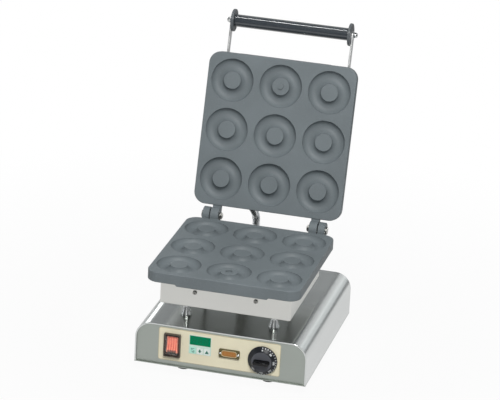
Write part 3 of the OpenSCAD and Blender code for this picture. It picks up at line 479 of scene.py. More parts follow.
def brushed(
    name, colour, rough, stretch=(0.02, 1, 1), streak=0.03, relief=0.015, around=None, **sockets
):
    """Sheet metal with fine grinding lines, faint clouding and uneven gloss."""
    f = Finish(name, Metallic=1.0, **sockets)
    if around:
        f.wire(f.shader, {"Tangent": f.node("Tangent", direction_type="RADIAL", axis=around)[0]})
    lines = f.noise(1600.0, stretch, detail=2.0, rough=0.5)
    base = f.clouded(lines, colour, 1 - streak, 1 + streak)
    base = f.blend(f.spread(f.noise(9.0), 0, 0.5), base, shade(colour, 0.93))
    return f.done(base, f.spread(lines, rough - 0.02, rough + 0.03), lines, relief, 0.03)


def bright_metal(name, colour, rough):
    """Turned or drawn bright metal with faint handling marks."""
    f = Finish(name, Metallic=1.0)
    marks = f.noise(700.0)
    gloss = f.spread(f.noise(150.0), rough * 0.7, rough * 1.4)
    return f.done(f.clouded(marks, colour, 0.96, 1.04), gloss, marks, 0.08, 0.02)


def coated_casting(name, colour):
    """Cast metal under a satin release coating: sand-fine texture, soft clouding and pale specks."""
    rough, grain = look("castings").roughness, look("castings").grain
    f = Finish(name, Specular_IOR_Level=0.3)
    fine = f.noise(1000.0 / grain, detail=2.0)
    speck = f.noise(400.0 / grain, detail=1.0)
    base = f.clouded(f.noise(14.0, detail=2.0), colour, 0.93, 1.06)
    base = f.blend(f.spread(speck, 0, 0.35, 0.55, 0.75), base, shade(colour, 1.25))
    return f.done(base, f.spread(fine, rough - 0.05, rough + 0.08), fine, 0.25, 0.06)


def moulded(name, colour, rough, vary=0.06, relief=0.12, **sockets):
    """Moulded plastic or rubber with a fine texture and faint clouding."""
    f = Finish(name, **sockets)
    fine = f.noise(900.0, detail=2.0)
    base = f.clouded(f.noise(60.0), colour, 1 - vary, 1 + vary)
    return f.done(base, f.spread(fine, max(rough - 0.05, 0.02), rough + 0.06), fine, relief, 0.03)


def printed_film(name, colour):
    """Cream printed film: a speckled, slightly uneven ground under a satin face."""
    f = Finish(name, Specular_IOR_Level=0.4)
    speck = f.noise(2600.0, detail=1.0)
    base = f.clouded(f.noise(24.0, detail=2.0), colour, 0.97, 1.02)
    base = f.blend(f.spread(speck, 0, 0.22, 0.55, 0.7), base, shade(colour, 0.72))
    return f.done(base, f.spread(speck, 0.38, 0.5), speck, 0.1, 0.02)


def clear_shell(name, colour):
    """Soft clear plastic with a slightly cloudy body."""
    f = Finish(name, Transmission_Weight=0.9, IOR=1.3, Alpha=0.55)
    cloud = f.noise(200.0)
    return f.done(f.clouded(cloud, colour, 0.94, 1.03), f.spread(cloud, 0.1, 0.2), cloud, 0.1, 0.05)


def glowing(name, colour, rough, glow):
    """Tinted plastic with a lamp behind it."""
    f = Finish(name, Emission_Strength=glow, Specular_IOR_Level=0.5)
    cloud = f.noise(180.0)
    tint = f.clouded(cloud, colour, 0.9, 1.08)
    f.wire(f.shader, {"Emission Color": tint})
    return f.done(tint, f.spread(f.noise(900.0), rough, rough + 0.1), cloud, 0.1, 0.03)


def fibrous(name, colour):
    """Mineral wool: tangled fibres with shaded hollows."""
    f = Finish(name)
    fibres = f.noise(240.0, (1, 1, 4), detail=8.0, rough=0.8)
    base = f.clouded(fibres, colour, 0.55, 1.15)
    return f.done(base, f.spread(fibres, 0.85, 1.0), fibres, 1.0, 1.5)


# ---- Sizes and colours that a user would change ----


def colour_of(what, label, *levels):
    """A colour that is set in 0 to 255 as a screen shows it."""
    return FloatVectorProperty(
        name=label, description="Colour of " + what, subtype="COLOR", size=3, min=0, max=1,
        default=tone(*levels),
    )


def amount(about, label, default, low, **more):
    """A number, no lower than low."""
    return FloatProperty(name=label, description=about, default=default, min=low, **more)


class CastingLook(bpy.types.PropertyGroup):
    """Coating and rims of the castings"""

    coating: colour_of("the castings' release coating", "Coating", 112, 120, 124)
    roughness: amount("Roughness of the coating", "Roughness", 0.5, 0.1, max=1, subtype="FACTOR")
    grain: amount("Size of the coating's grain, in millimetres", "Grain", 0.9, 0.2, max=4)
    rim: amount("Rounding of the moulds' rims, in millimetres", "Rim rounding", 0.35, 0.2, max=2)


class SheetLook(bpy.types.PropertyGroup):
    """Colours of the steel"""

    cover: colour_of("the base cover's steel", "Cover", 218, 221, 220)
    panel: colour_of("the front panel's steel", "Panel", 174, 180, 174)
    box: colour_of("the heater boxes' steel", "Heater box", 214, 214, 210)
    hardware: colour_of("the bright hardware", "Hardware", 214, 216, 216)


class ControlLook(bpy.types.PropertyGroup):
    """Colours of the controls, and the height of the knob's figures"""

    film: colour_of("the control overlay's ground", "Overlay", 240, 233, 206)
    display: colour_of("the display window", "Display", 0, 130, 88)
    mint: colour_of("the print round the display and the keys", "Key surround", 214, 236, 224)
    teal: colour_of("the marks on the keys", "Key marks", 20, 112, 92)
    rocker: colour_of("the lit rocker", "Rocker", 232, 104, 84)
    amber: colour_of("the pilot lamp's lens", "Lamp lens", 176, 120, 58)
    knob: colour_of("the thermostat knob", "Knob", 26, 29, 34)
    figures: amount("Height of the knob's figures, in millimetres", "Figure height", 4.4, 2, max=7)


class HandleLook(bpy.types.PropertyGroup):
    """Colours of the handle"""

    grip: colour_of("the grip", "Grip", 54, 60, 66)
    guard: colour_of("the heat guards", "Guards", 92, 97, 101)


class ConduitLook(bpy.types.PropertyGroup):
    """Folds of the conduit"""

    pitch: amount("Distance between the folds, in millimetres", "Pitch", 3.2, 1.5, max=8)
    depth: amount("Depth of the folds, in millimetres", "Fold depth", 0.9, 0.1, max=2)


class StageLook(bpy.types.PropertyGroup):
    """Floor, room and lights"""

    floor: FloatVectorProperty(
        name="Floor", description="Colour of the floor", subtype="COLOR", size=3, min=0, max=1,
        default=(0.45, 0.45, 0.45),
    )
    ceiling: amount("Brightness of the room above its pale horizon", "Ceiling", 0.2, 0, max=1)
    behind_viewer: amount("Brightness of the room before the object", "Room in front", 0.2, 0, max=1)
    key: amount("Power of the soft light from the upper right", "Key light", 75.0, 0, unit="POWER")
    fill: amount("Power that the other lights share", "Fill light", 4, 0, unit="POWER")


# Each finish by its slot or place, under what makes it: its colour as shade() takes it, its
# roughness and what else sets it apart. A material is called by its slot's words.
FINISHES = {
    brushed: {
        "cover_steel": ("sheets.cover", 0.19, {
            "stretch": (0.015, 1, 0.015), "around": "Y",
            "Anisotropic": 0.88, "Anisotropic_Rotation": 0.25}),
        "panel_steel": ("sheets.panel", 0.42, {"relief": 0.006}),
        "rear_steel": ("sheets.panel", 0.42),
        "bottom_steel": ((140, 142, 140), 0.45),
        "box_steel": ("sheets.box", 0.3, {
            "stretch": (0.02, 0.02, 1), "streak": 0.004, "relief": 0.0006}),
        "element_sheath": ((92, 86, 80), 0.5, {"stretch": (1, 1, 1)}),
        "clamp_steel": ((150, 151, 148), 0.45, {"stretch": (0.05, 1.2, 1.2)}),
    },
    bright_metal: {
        "fastener_steel": ((176, 176, 172), 0.34),
        "bright_steel": ("sheets.hardware", 0.14),
        "shaft_steel": ((180, 180, 176), 0.3),
        "tube_steel": ((186, 187, 184), 0.25),
        "standoff_steel": ((206, 208, 208), 0.22),
        "screw_steel": ((150, 150, 146), 0.2),
        "gland_metal": ((198, 198, 194), 0.24),
        "conduit_metal": ((206, 208, 210), 0.2),
        "bar_chrome": ((236, 237, 237), 0.4),
    },
    moulded: {
        "feet_rubber": ((30, 31, 32), 0.6),
        "frame_plastic": ((84, 76, 66), 0.3),
        "black_plastic": ((24, 24, 25), 0.3),
        "display_glass": ("controls.display", 0.5, 0.03, 0.02, {"Specular_IOR_Level": 0.03}),
        "board": ((22, 74, 44), 0.45, 0.12),
        "key_teal": ((194, 246, 230), 0.45, 0.03, {"Specular_IOR_Level": 0.2}),
        "key_white": ((238, 246, 242), 0.45, 0.02, {"Specular_IOR_Level": 0.2}),
        "lamp_frame": ((88, 80, 44), 0.3, 0.12),
        "thermostat_body": ((214, 212, 204), 0.5),
        "knob_plastic": ("controls.knob", 0.36, 0.08, {"Specular_IOR_Level": 0.3}),
        # The knob's top disc: a lighter copy of the knob's plastic, painted sheen where its flat top catches the
        # light.
        "knob_face": ((84, 86, 92), 0.42, {"Specular_IOR_Level": 0.3}),
        # The knob's grip bar: a near-black copy of the knob's plastic, painted shade on its front face.
        "knob_bar": ((6, 6, 8), 0.2, 0.08, {"Specular_IOR_Level": 0.35}),
        "terminal_plastic": ((232, 228, 214), 0.5),
        "gland_plastic": ((60, 61, 62), 0.45),
        "guard_plastic": ("handle.guard", 0.36),
        "grip_plastic": ("handle.grip", 0.24, {
            "relief": 0.01, "Coat_Weight": 1.0, "Coat_Roughness": 0.1}),
        "white_print": ((226, 230, 232), 0.5, 0.03),
        "film_line": ((186, 172, 138), 0.5, 0.05),
        "mint_print": ("controls.mint", 0.42, 0.02),
        "teal_print": ("controls.teal", 0.42, 0.04),
        "segment_print": ((0, 116, 78), 0.2, 0.03),
        # A pale copy of the lamp bezel's colour for the ring round the lens: painted highlight on its bevel.
        "tan_trim": ((196, 178, 138), 0.4, 0.05),
        "rocker_end": ((78, 74, 72), 0.35),
    },
    glowing: {
        # The ribs: the rocker's own lamp glow, made lighter and stronger than on its body as a painted highlight.
        "rocker_ribs": ((255, 158, 132), 0.3, 0.45),
        "rocker_plastic": ("controls.rocker", 0.3, 0.35),
        "lens_amber": ("controls.amber", 0.3, 0.03),
    },
    printed_film: {"overlay_plastic": ("controls.film",)},
    clear_shell: {"clear_plastic": ((210, 205, 200),)},
    coated_casting: {"plate_coating": ("castings.coating",)},
    fibrous: {"mineral_wool": ((196, 180, 128),)},
}


@functools.cache
def finish(slot):
    """The material for a slot, made when it is first asked for."""
    maker, rows = next((maker, rows) for maker, rows in FINISHES.items() if slot in rows)
    values = list(rows[slot])
    settings = values.pop() if isinstance(values[-1], dict) else {}
    return maker(slot.replace("_", " "), *values, **settings)


# ---- Pieces ----


def cover_form():
    """The bent sheet, with a small rounding on the sheet's own edges."""
    low, high = span("base_cover")
    sheet, bend = 1.5, 29.0
    hem, hem_depth, hem_edge = 2.5, 2.2, 1.1
    edge, crease = 0.4, 0.1

    def path(y, foot, reach):
        """Over the top from the right foot to the left one, reach in from the outside."""
        side, radius = (high.x - low.x) / 2 - reach, bend - reach
        line = [(side, low.z + foot)]
        for x, start in ((side - radius, 0), (radius - side, 90)):
            bend_z = high.z - reach - radius
            line += [polar(radius, a, x, bend_z) for a in sweep(start, start + 90, 14)]
        line.append((-side, low.z + foot))
        return [(x, y, z) for x, z in line]

    # From the front edge: how far back, how far the edge is drawn in, how thick the sheet is
    levels = [(edge * back, edge * inset, hem - hem_edge * inset) for inset, back in quarter(1, 3)]
    levels += [(hem_depth - crease, 0, hem), (hem_depth, 0, hem - crease), (hem_depth, 0, sheet)]
    levels += [(high.y - low.y - y, inset, thick) for y, inset, thick in reversed(levels)]
    rings = []
    for y, inset, thick in levels:
        rings.append(path(low.y + y, inset, inset) + path(low.y + y, inset, thick)[::-1])
    form = loft(rings, caps=(False, False))
    count = len(rings[0])
    for start in (0, (len(rings) - 1) * count):
        end = start + count - 1
        form.faces += [[start + i, start + i + 1, end - i - 1, end - i] for i in range(count // 2 - 1)]
    return form


def foot_form():
    """A ribbed rubber foot, its sole at z = 0."""
    return turned(eased([
        (2.8, 20, 0), (2.8, 7, 0), (6, 7, 0), (6, 0.4, 0.4), (11, 0, 0.6), (14, 3, 2.4),
        (14.4, 6.6, 0.2), (13.9, 7.1, 0.2), (14.5, 7.6, 0.2), (15, 12.6, 0.2), (14.5, 13.1, 0.2),
        (15.1, 13.6, 0.2), (16, 20, 0.5),
    ]), closed=True)


def standoff_form():
    """A waisted standoff with a broad flange below and a collar above."""
    return turned(eased([
        (3.2, 0, 0), (9.5, 0, 0.3), (9.5, 1.6, 0.5), (4.9, 14.5, 4), (4.75, 28.5, 0.5), (6.25, 30, 0.4),
        (6.25, 31.5, 0.2), (3.2, 31.5, 0),
    ]), sides=48, closed=True)


def mould_form(rim, pin_radius, pin_height):
    """A ring mould from its rim inwards; a pin or its socket may stand on the boss."""
    half, drop = (RING_RADIUS - BOSS_RADIUS) / 2, RING_DEPTH - RIM_STEP
    arc = (half * half + drop * drop) / (2 * drop)
    end = math.asin(half / arc)
    line = [(RING_RADIUS + rim, 0, 0), (RING_RADIUS, 0, rim)]
    for k in range(12, -13, -1):
        x, z = polar(arc, end * k / 12)
        line.append((BOSS_RADIUS + half + z, arc - RING_DEPTH - x, 0))
    line.append((BOSS_RADIUS, 0, 0.5))
    if pin_radius:
        line += [(pin_radius, 0, 0.2), (pin_radius, pin_height, 0.5)]
    line.append((0, pin_height, 0))
    return turned(eased(line, steps=3), sides=96)


def lip_form():
    """The lip under the casting's front edge, with slanted ends."""
    low, high, thick = -PLATE_THICK - 6.2, -PLATE_THICK + 3, 9.0
    length, slant, edge, proud = 164.0, 4, 0.8, 0.02
    front = -PLATE_DEPTH / 2 - proud
    rings = []
    for inset, y in ((edge, 0), (0, edge), (0, thick - edge), (edge, thick)):
        half = length / 2 - inset
        line = [(half, high), (half, low + slant), (half - slant, low + inset)]
        line = [(-x, z) for x, z in line] + line[::-1]
        rings.append([(x, front + y, z) for x, z in line])
    return loft(rings)


def knuckle_form(lid):
    """A hinge knuckle with its arm; the lid's has the heel that stops it."""
    x, width = (82.0, 14.5) if lid else (98.5, 12.0)
    radius, drop, arm_top, edge = 14.0, -12.3, -1.8, 0.5
    into_plate = 6
    back = -HINGE_SETBACK - into_plate
    heel_depth, heel_length = 12.9, 24.0
    start, end = (math.atan2(y, -math.sqrt(radius**2 - y**2)) for y in (drop, arm_top))
    angles = [start + (end - start) % math.tau * k / 40 for k in range(41)]
    if lid:
        heel_angle = math.asin(heel_depth / radius)
        line = [polar(radius, a) for a in angles if a < 0]
        line += [(radius, 0), (heel_length, 0), (heel_length, heel_depth), polar(radius, heel_angle)]
        line += [polar(radius, a) for a in angles if a > heel_angle]
    else:
        line = [polar(radius, a) for a in angles]
    line = [(back, drop), *line, (back, arm_top)]
    rings = []
    for inset, at in ((edge, 0), (0, edge), (0, width - edge), (edge, width)):
        scale = 1 - inset / radius
        rings.append([(x + at, LID_MIDDLE + a * scale, PLATE_GAP / 2 + b * scale) for a, b in line])
    return loft(rings)


def casting_form(lid):
    """One casting in its own frame: baking face at z = 0, body below, hinge behind."""
    rim = look("castings").rim
    corner, edge, skirt, skirt_inset = 21.0, 1.5, 0 if lid else 3.4, 7
    outline = rounded(PLATE_WIDTH, PLATE_DEPTH, corner, steps=12)
    middles = [(x * COLUMN_PITCH, y * ROW_PITCH) for x in (-1, 0, 1) for y in (-1, 0, 1)]
    form = pierced(outline(edge), [circle(RING_RADIUS + rim, 96, x, y) for x, y in middles])
    for x, y in middles:
        pin = (0, 0)
        if (x, y) == (0, -ROW_PITCH):
            pin = (PIN_RADIUS, PIN_HEIGHT) if lid else (PIN_RADIUS + 1, -PIN_HEIGHT - 1)
        form.join(mould_form(rim, *pin), shift(x, y))
    side = quarter(edge, 4)
    base = -PLATE_THICK - skirt
    levels = [(inset, -z) for inset, z in side] + [(inset, base + z) for inset, z in reversed(side)]
    if skirt:
        levels += [(skirt_inset - 0.5, base), (skirt_inset, base + 0.5)]
        levels.append((skirt_inset, -PLATE_THICK))
    form.join(stacked(outline, levels, caps=(False, True)))
    return form.join(lip_form()).join(both_sides(knuckle_form(lid)))


def heater_box_form(width, height):
    """A folded box below the casting, open above, with rounded folds."""
    outline = rounded(width, BOX_DEPTH, 2.6, steps=5)
    fold, sheet = 1.8, 1.2
    low = -PLATE_THICK - height
    outside = [(0, -PLATE_THICK)] + [(z, low + inset) for inset, z in quarter(fold, 5)]
    inside = [(sheet, -PLATE_THICK), (sheet, low + fold), (sheet + fold, low + sheet)]
    form = stacked(outline, outside, caps=(False, True))
    form.join(stacked(outline, inside, caps=(False, True)))
    return form.join(stacked(outline, [(0, -PLATE_THICK), inside[0]], caps=(False, False)))


def cross_screw_form(length):
    """A pan-head screw with a cross recess, its seat at z = 0."""
    diameter = 4.0
    head, rise, top = diameter * 0.95, diameter * 0.6, 0.62
    arm, half, floor = head * 0.5, head * 0.13, rise * 0.3
    cross = [(half, half), (arm, half), (arm, -half)]
    for _ in range(3):
        cross += [(y, -x) for x, y in cross[-3:]]
    dome = [(0, -length), (diameter / 2, -length), (diameter / 2, 0), (head, 0), (head, rise * 0.35)]
    for a in map(math.radians, (25, 50, 75, 90)):
        dome.append((head * (top + (1 - top) * math.cos(a)), rise * (0.35 + 0.65 * math.sin(a))))
    form = turned(dome, sides=32)
    form.join(pierced(circle(head * top, 32), [cross], rise))
    taper = [[(x * scale, y * scale, z) for x, y in cross] for scale, z in ((1, rise), (0.8, floor))]
    return form.join(loft(taper, caps=(False, True)))


def box_screw_places():
    """On a heater box's front and back, in the casting's own frame."""
    drop, front_x, back_x = 24.5, 53.0, 72.0
    z, half = -PLATE_THICK - drop, BOX_DEPTH / 2
    front = [shift(x, -half, z) @ FACE_FRONT for x in (-front_x, front_x)]
    return front + [shift(x, half, z) @ turn(-90, "X") for x in (-back_x, back_x)]


def bar_screw_places():
    """Two on each handle bar, where it lies along the lid's box."""
    places = []
    for side in (-1, 1):
        for from_end in (14.0, 74.0):
            seat = shift(side * BAR_OUTSIDE, -BAR_END - from_end, GRIP_LIFT)
            places.append(ON_LID @ seat @ turn(side * 90, "Y"))
    return places


def bar_form(side):
    """A flat handle bar with a round end, its face in the lid's own plane."""
    half, reach = 6.0, GRIP_REACH - BAR_END

    def outline(inset):
        end = [polar(half - inset, a) for a in sweep(90, 270, 16)]
        return end + [(reach - inset, inset - half), (reach - inset, half - inset)]

    x = BAR_INSIDE if side > 0 else -BAR_OUTSIDE
    upright = Matrix(((0, 0, 1, 0), (1, 0, 0, 0), (0, 1, 0, 0), (0, 0, 0, 1)))
    return slab(outline, BAR_THICK, edge=0.7, steps=4).placed(AT_GRIP @ shift(x) @ upright)


def guard_form():
    """A dished heat guard, its hollow face at z = 0."""
    return turned(eased([
        (4.4, 0, 0), (17.2, 0, 0.2), (17.6, 0.7, 0.3), (18.6, 0.7, 0.3), (19.2, 0, 0.4), (20, 0.4, 0.8),
        (20, 4.4, 0.9), (18.8, 5, 0.8), (16.5, 4.4, 0.5), (13.5, 4.6, 0.5), (12, 5, 0.6), (4.4, 5, 0),
    ]), closed=True)


def grip_form():
    """The grip's tube, lying along Z with its middle at z = 0."""
    end = [(4.4, GRIP_HALF, 0), (10.2, GRIP_HALF, 0.5), (11, GRIP_HALF - 1.2, 0.8)]
    other_end = [(r, -z, length) for r, z, length in end]
    return turned(eased(other_end + end[::-1]), sides=80, closed=True)


def cap_nut_form():
    """Hexagon cap nut with a domed end."""
    levels = ((6.6, 0), (7, 0.4), (7, 4.4), (6.4, 5))
    hexagon = [[(x, y, z) for x, y in circle(r, 6)] for r, z in levels]
    dome = [(0, 4.6), (5.6, 4.6), (5.6, 5.4)]
    dome += [(5.6 * math.cos(a), 5.4 + 3.6 * math.sin(a)) for a in map(math.radians, (20, 40, 60, 75))]
    return loft(hexagon).join(turned(dome + [(0, 9.0)], sides=32))


def key_surround_form():
    """The print round the display and the three keys, left open where they show."""
    width, thick, low, high = 39.0, 0.12, KEY_Z - 6.5, DISPLAY_Z + 9.6
    centre = (low + high) / 2
    window, key = rounded(36.6, 16.8, 0.4)(), rounded(11.0, 11.6, 1.0)()
    holes = [[(x, y + DISPLAY_Z - centre) for x, y in window]]
    for k in (-1, 0, 1):
        holes.append([(x + k * KEY_PITCH, y + KEY_Z - centre) for x, y in key])
    outer = rounded(width, high - low, 1.0)()
    return pierced_slab(outer, holes, thick).placed(on_panel(KEY_X, centre, OVERLAY_OUT))


def segment_form():
    """Three unlit seven-part figures for the display."""
    figure = Form()
    across = [(0, y, 4.4, 1.0) for y in (-5, 0, 5)]
    upright = [(x, y, 1.0, 3.8) for x in (-2.9, 2.9) for y in (-2.5, 2.5)]
    for x, y, w, h in across + upright:
        figure.join(slab(rounded(w, h, 0.4, steps=2), 0.06, 0.02, steps=1), shift(x, y))
    lean = Matrix.Identity(4)
    lean[0][1] = 0.12
    return figure.placed(*[shift(x) @ lean for x in (-10.5, 0, 10.5)])


def switch_cap_form():
    """The clear splash cap over the rocker, as a thin shell."""
    cap = rounded(23.0, 34.0, 2.4)
    low, wall, bend = 2.6, 0.9, 2.2
    outer = [(0, low), (0, 7.0)]
    for a in map(math.radians, (0, 25, 50, 75, 90)):
        outer.append((bend * (1 - math.cos(a)), 7.3 + bend * math.sin(a)))
    inner = [(wall, low), (wall, 7.0), (1.6, 8.2), (2.6, 8.7)]
    shell = stacked(cap, outer, caps=(False, True)).join(stacked(cap, inner, caps=(False, True)))
    return shell.join(stacked(cap, [outer[0], inner[0]], caps=(False, False)))


def rocker_forms():
    """The rocker's body and its lengthwise ribs, level: Z to the user, Y up."""
    half, rise = 13.5, 13.5 * math.tan(math.radians(9))
    body_w, rib_w = 18.6, 1.9
    pitch = (body_w - rib_w) / 4

    def side_line(lift, end):
        middle_z, tip = 3 + lift, 3 + rise + lift
        top = [(end, tip - 0.5), (end - 0.6, tip), (half / 2, middle_z + rise * 0.42)]
        left = [(-end, -3)] + [(-y, z) for y, z in top]
        return left + [(0, middle_z)] + top[::-1] + [(end, -3), (0, -5)]

    ribs = Form()
    for i in range(-2, 3):
        ribs.join(extruded(side_line(0.6, half - 0.2), i * pitch - rib_w / 2, rib_w))
    return extruded(side_line(0, half), -body_w / 2, body_w), ribs


def rocker_end_form():
    """The stepped bars on the rocker's lower end."""
    form = Form()
    for k in range(3):
        bar = slab(rounded(15.6 - k * 0.4, 0.9, 0.4, steps=3), 1.0, 0.3)
        form.join(bar, shift(0, -10.2 - 1.3 * k, 4.9 + 0.14 * k))
    return form


def key_mark_forms():
    """Each key's mark, by the key's node."""
    thick, size = 0.1, 1.2
    arrow = [(-1.1, 2.6), (1.1, 2.6), (1.1, 0.3), (2.6, 0.3), (0, -2.8), (-2.6, 0.3), (-1.1, 0.3)]
    triangle = [(-2.9, -2.4), (2.9, -2.4), (0, 2.8)]
    down, up = (
        loft([[(x * size, y * size, z) for x, y in line] for z in (0, thick)])
        for line in (arrow, triangle)
    )
    lines = Form()
    for k, (length, offset) in enumerate(((6.4, 0), (3.0, -1.6), (2.2, 1.9), (6.4, 0), (4.0, 1.0))):
        bar = slab(rounded(length, 0.8, 0.3, steps=2), thick, 0.02, steps=1)
        lines.join(bar, shift(offset, 3.4 - 1.7 * k))
    return {"key_set": lines, "key_down": down, "key_up": up}


KNOB_SCALE_OUTER, KNOB_SCALE_INNER = (25.5, 2.4), (18.9, 7.2)


def knob_form():
    """The knob's round skirt with its sloping scale ring. Z points to the user."""
    skirt = [(9.5, 2, 0), (23, 2, 0.4), (23, 0, 0.2), (25.5, 0, 0.3)]
    skirt += [(*KNOB_SCALE_OUTER, 0.7), (*KNOB_SCALE_INNER, 1.2), (18.1, 8.5, 0.9), (0, 8.5, 0)]
    return turned(eased(skirt), sides=96)


def knob_face_form():
    """The flat disc on the knob's top, in a lighter copy of the knob's plastic: a painted sheen."""
    return turned([(0, 8.3), (17.5, 8.3), (17.6, 8.65), (17.4, 8.75), (0, 8.75)], sides=96)


def knob_bar_form():
    """The knob's grip bar, standing in a low raised edge."""
    levels = [(0, 8.0), (0, 17.2)]
    for a in map(math.radians, (0, 30, 60, 85)):
        levels.append((1.6 * (1 - math.cos(a)), 17.4 + 2.1 * math.sin(a)))
    border = ring_frame(rounded(29.4, 8.4, 3.2), [(0, 8.3), (0.5, 8.9), (1.2, 9.0), (1.4, 8.3)])
    return stacked(rounded(27.0, 6.0, 2.2), levels).join(border)


def on_scale(radius, degrees, lift):
    """A place on the knob's sloping ring, clockwise from the top."""
    (outer, low), (inner, high) = KNOB_SCALE_OUTER, KNOB_SCALE_INNER
    slope = math.atan2(high - low, outer - inner)
    height = low + (outer - radius) * math.tan(slope) + lift
    return turn(-degrees, "Z") @ shift(0, radius, height) @ turn(-math.degrees(slope), "X")


def scale_form():
    """Figures round the ring, 45 degrees apart, and ticks at its rim, four to a figure."""
    thick, figure_radius, tick_radius = 0.12, 20.4, 23.9
    height = look("controls").figures
    form = Form()
    for k in range(6):
        place = on_scale(figure_radius, 45 * k, thick)
        form.join(lettering(str(50 * k), height, thick), place)
    tick = slab(rounded(1.1, 2.2, 0.3, steps=2), thick, 0.03, steps=1)
    for k in range(21):
        form.join(tick, on_scale(tick_radius, 11.25 * k, thick / 2))
    return form


def conduit_line(steps):
    """The conduit's middle line: straight into both glands, with its slack to the rear."""
    bulge, lead, lid_gland = 48.0, 5, 10.0
    base = middle("base_gland")
    base.z = span("base_gland")[1].z
    gland_y = lid_gland + BOX_DEPTH / 2 - LID_MIDDLE
    lid = ON_LID @ Vector((middle("lid_gland").x, gland_y, GRIP_LIFT))
    lean = math.radians(LID_OPEN - 90)
    way = lid - base
    points = []
    for k in range(steps + 1):
        t = k / steps
        slack = bulge * (1 - math.cos(math.tau * t)) / 2
        end_lean = (way.z * math.tan(lean) - way.y) * (t**3 - t**2)
        start_lean = -way.y * (t**3 - 2 * t**2 + t)
        points.append(base + t * way + Vector((0, slack + end_lean + start_lean, 0)))
    into_lid = Vector((0, math.sin(lean), math.cos(lean))) * lead
    return [base - Vector((0, 0, lead))] + points + [lid + into_lid]


def conduit_path(pitch, per_fold):
    """Even points along the middle line, a whole number of them to each fold."""
    line = np.array([tuple(p) for p in conduit_line(120)])
    lengths = np.cumsum([0, *np.linalg.norm(np.diff(line, axis=0), axis=1)])
    places = np.linspace(0, lengths[-1], int(lengths[-1] / pitch) * per_fold + 1)
    return np.stack([np.interp(places, lengths, line[:, k]) for k in range(3)], 1)


# ---- Operators ----


class BuildStep:
    """What the build operators share"""

    bl_options = {"REGISTER", "UNDO"}


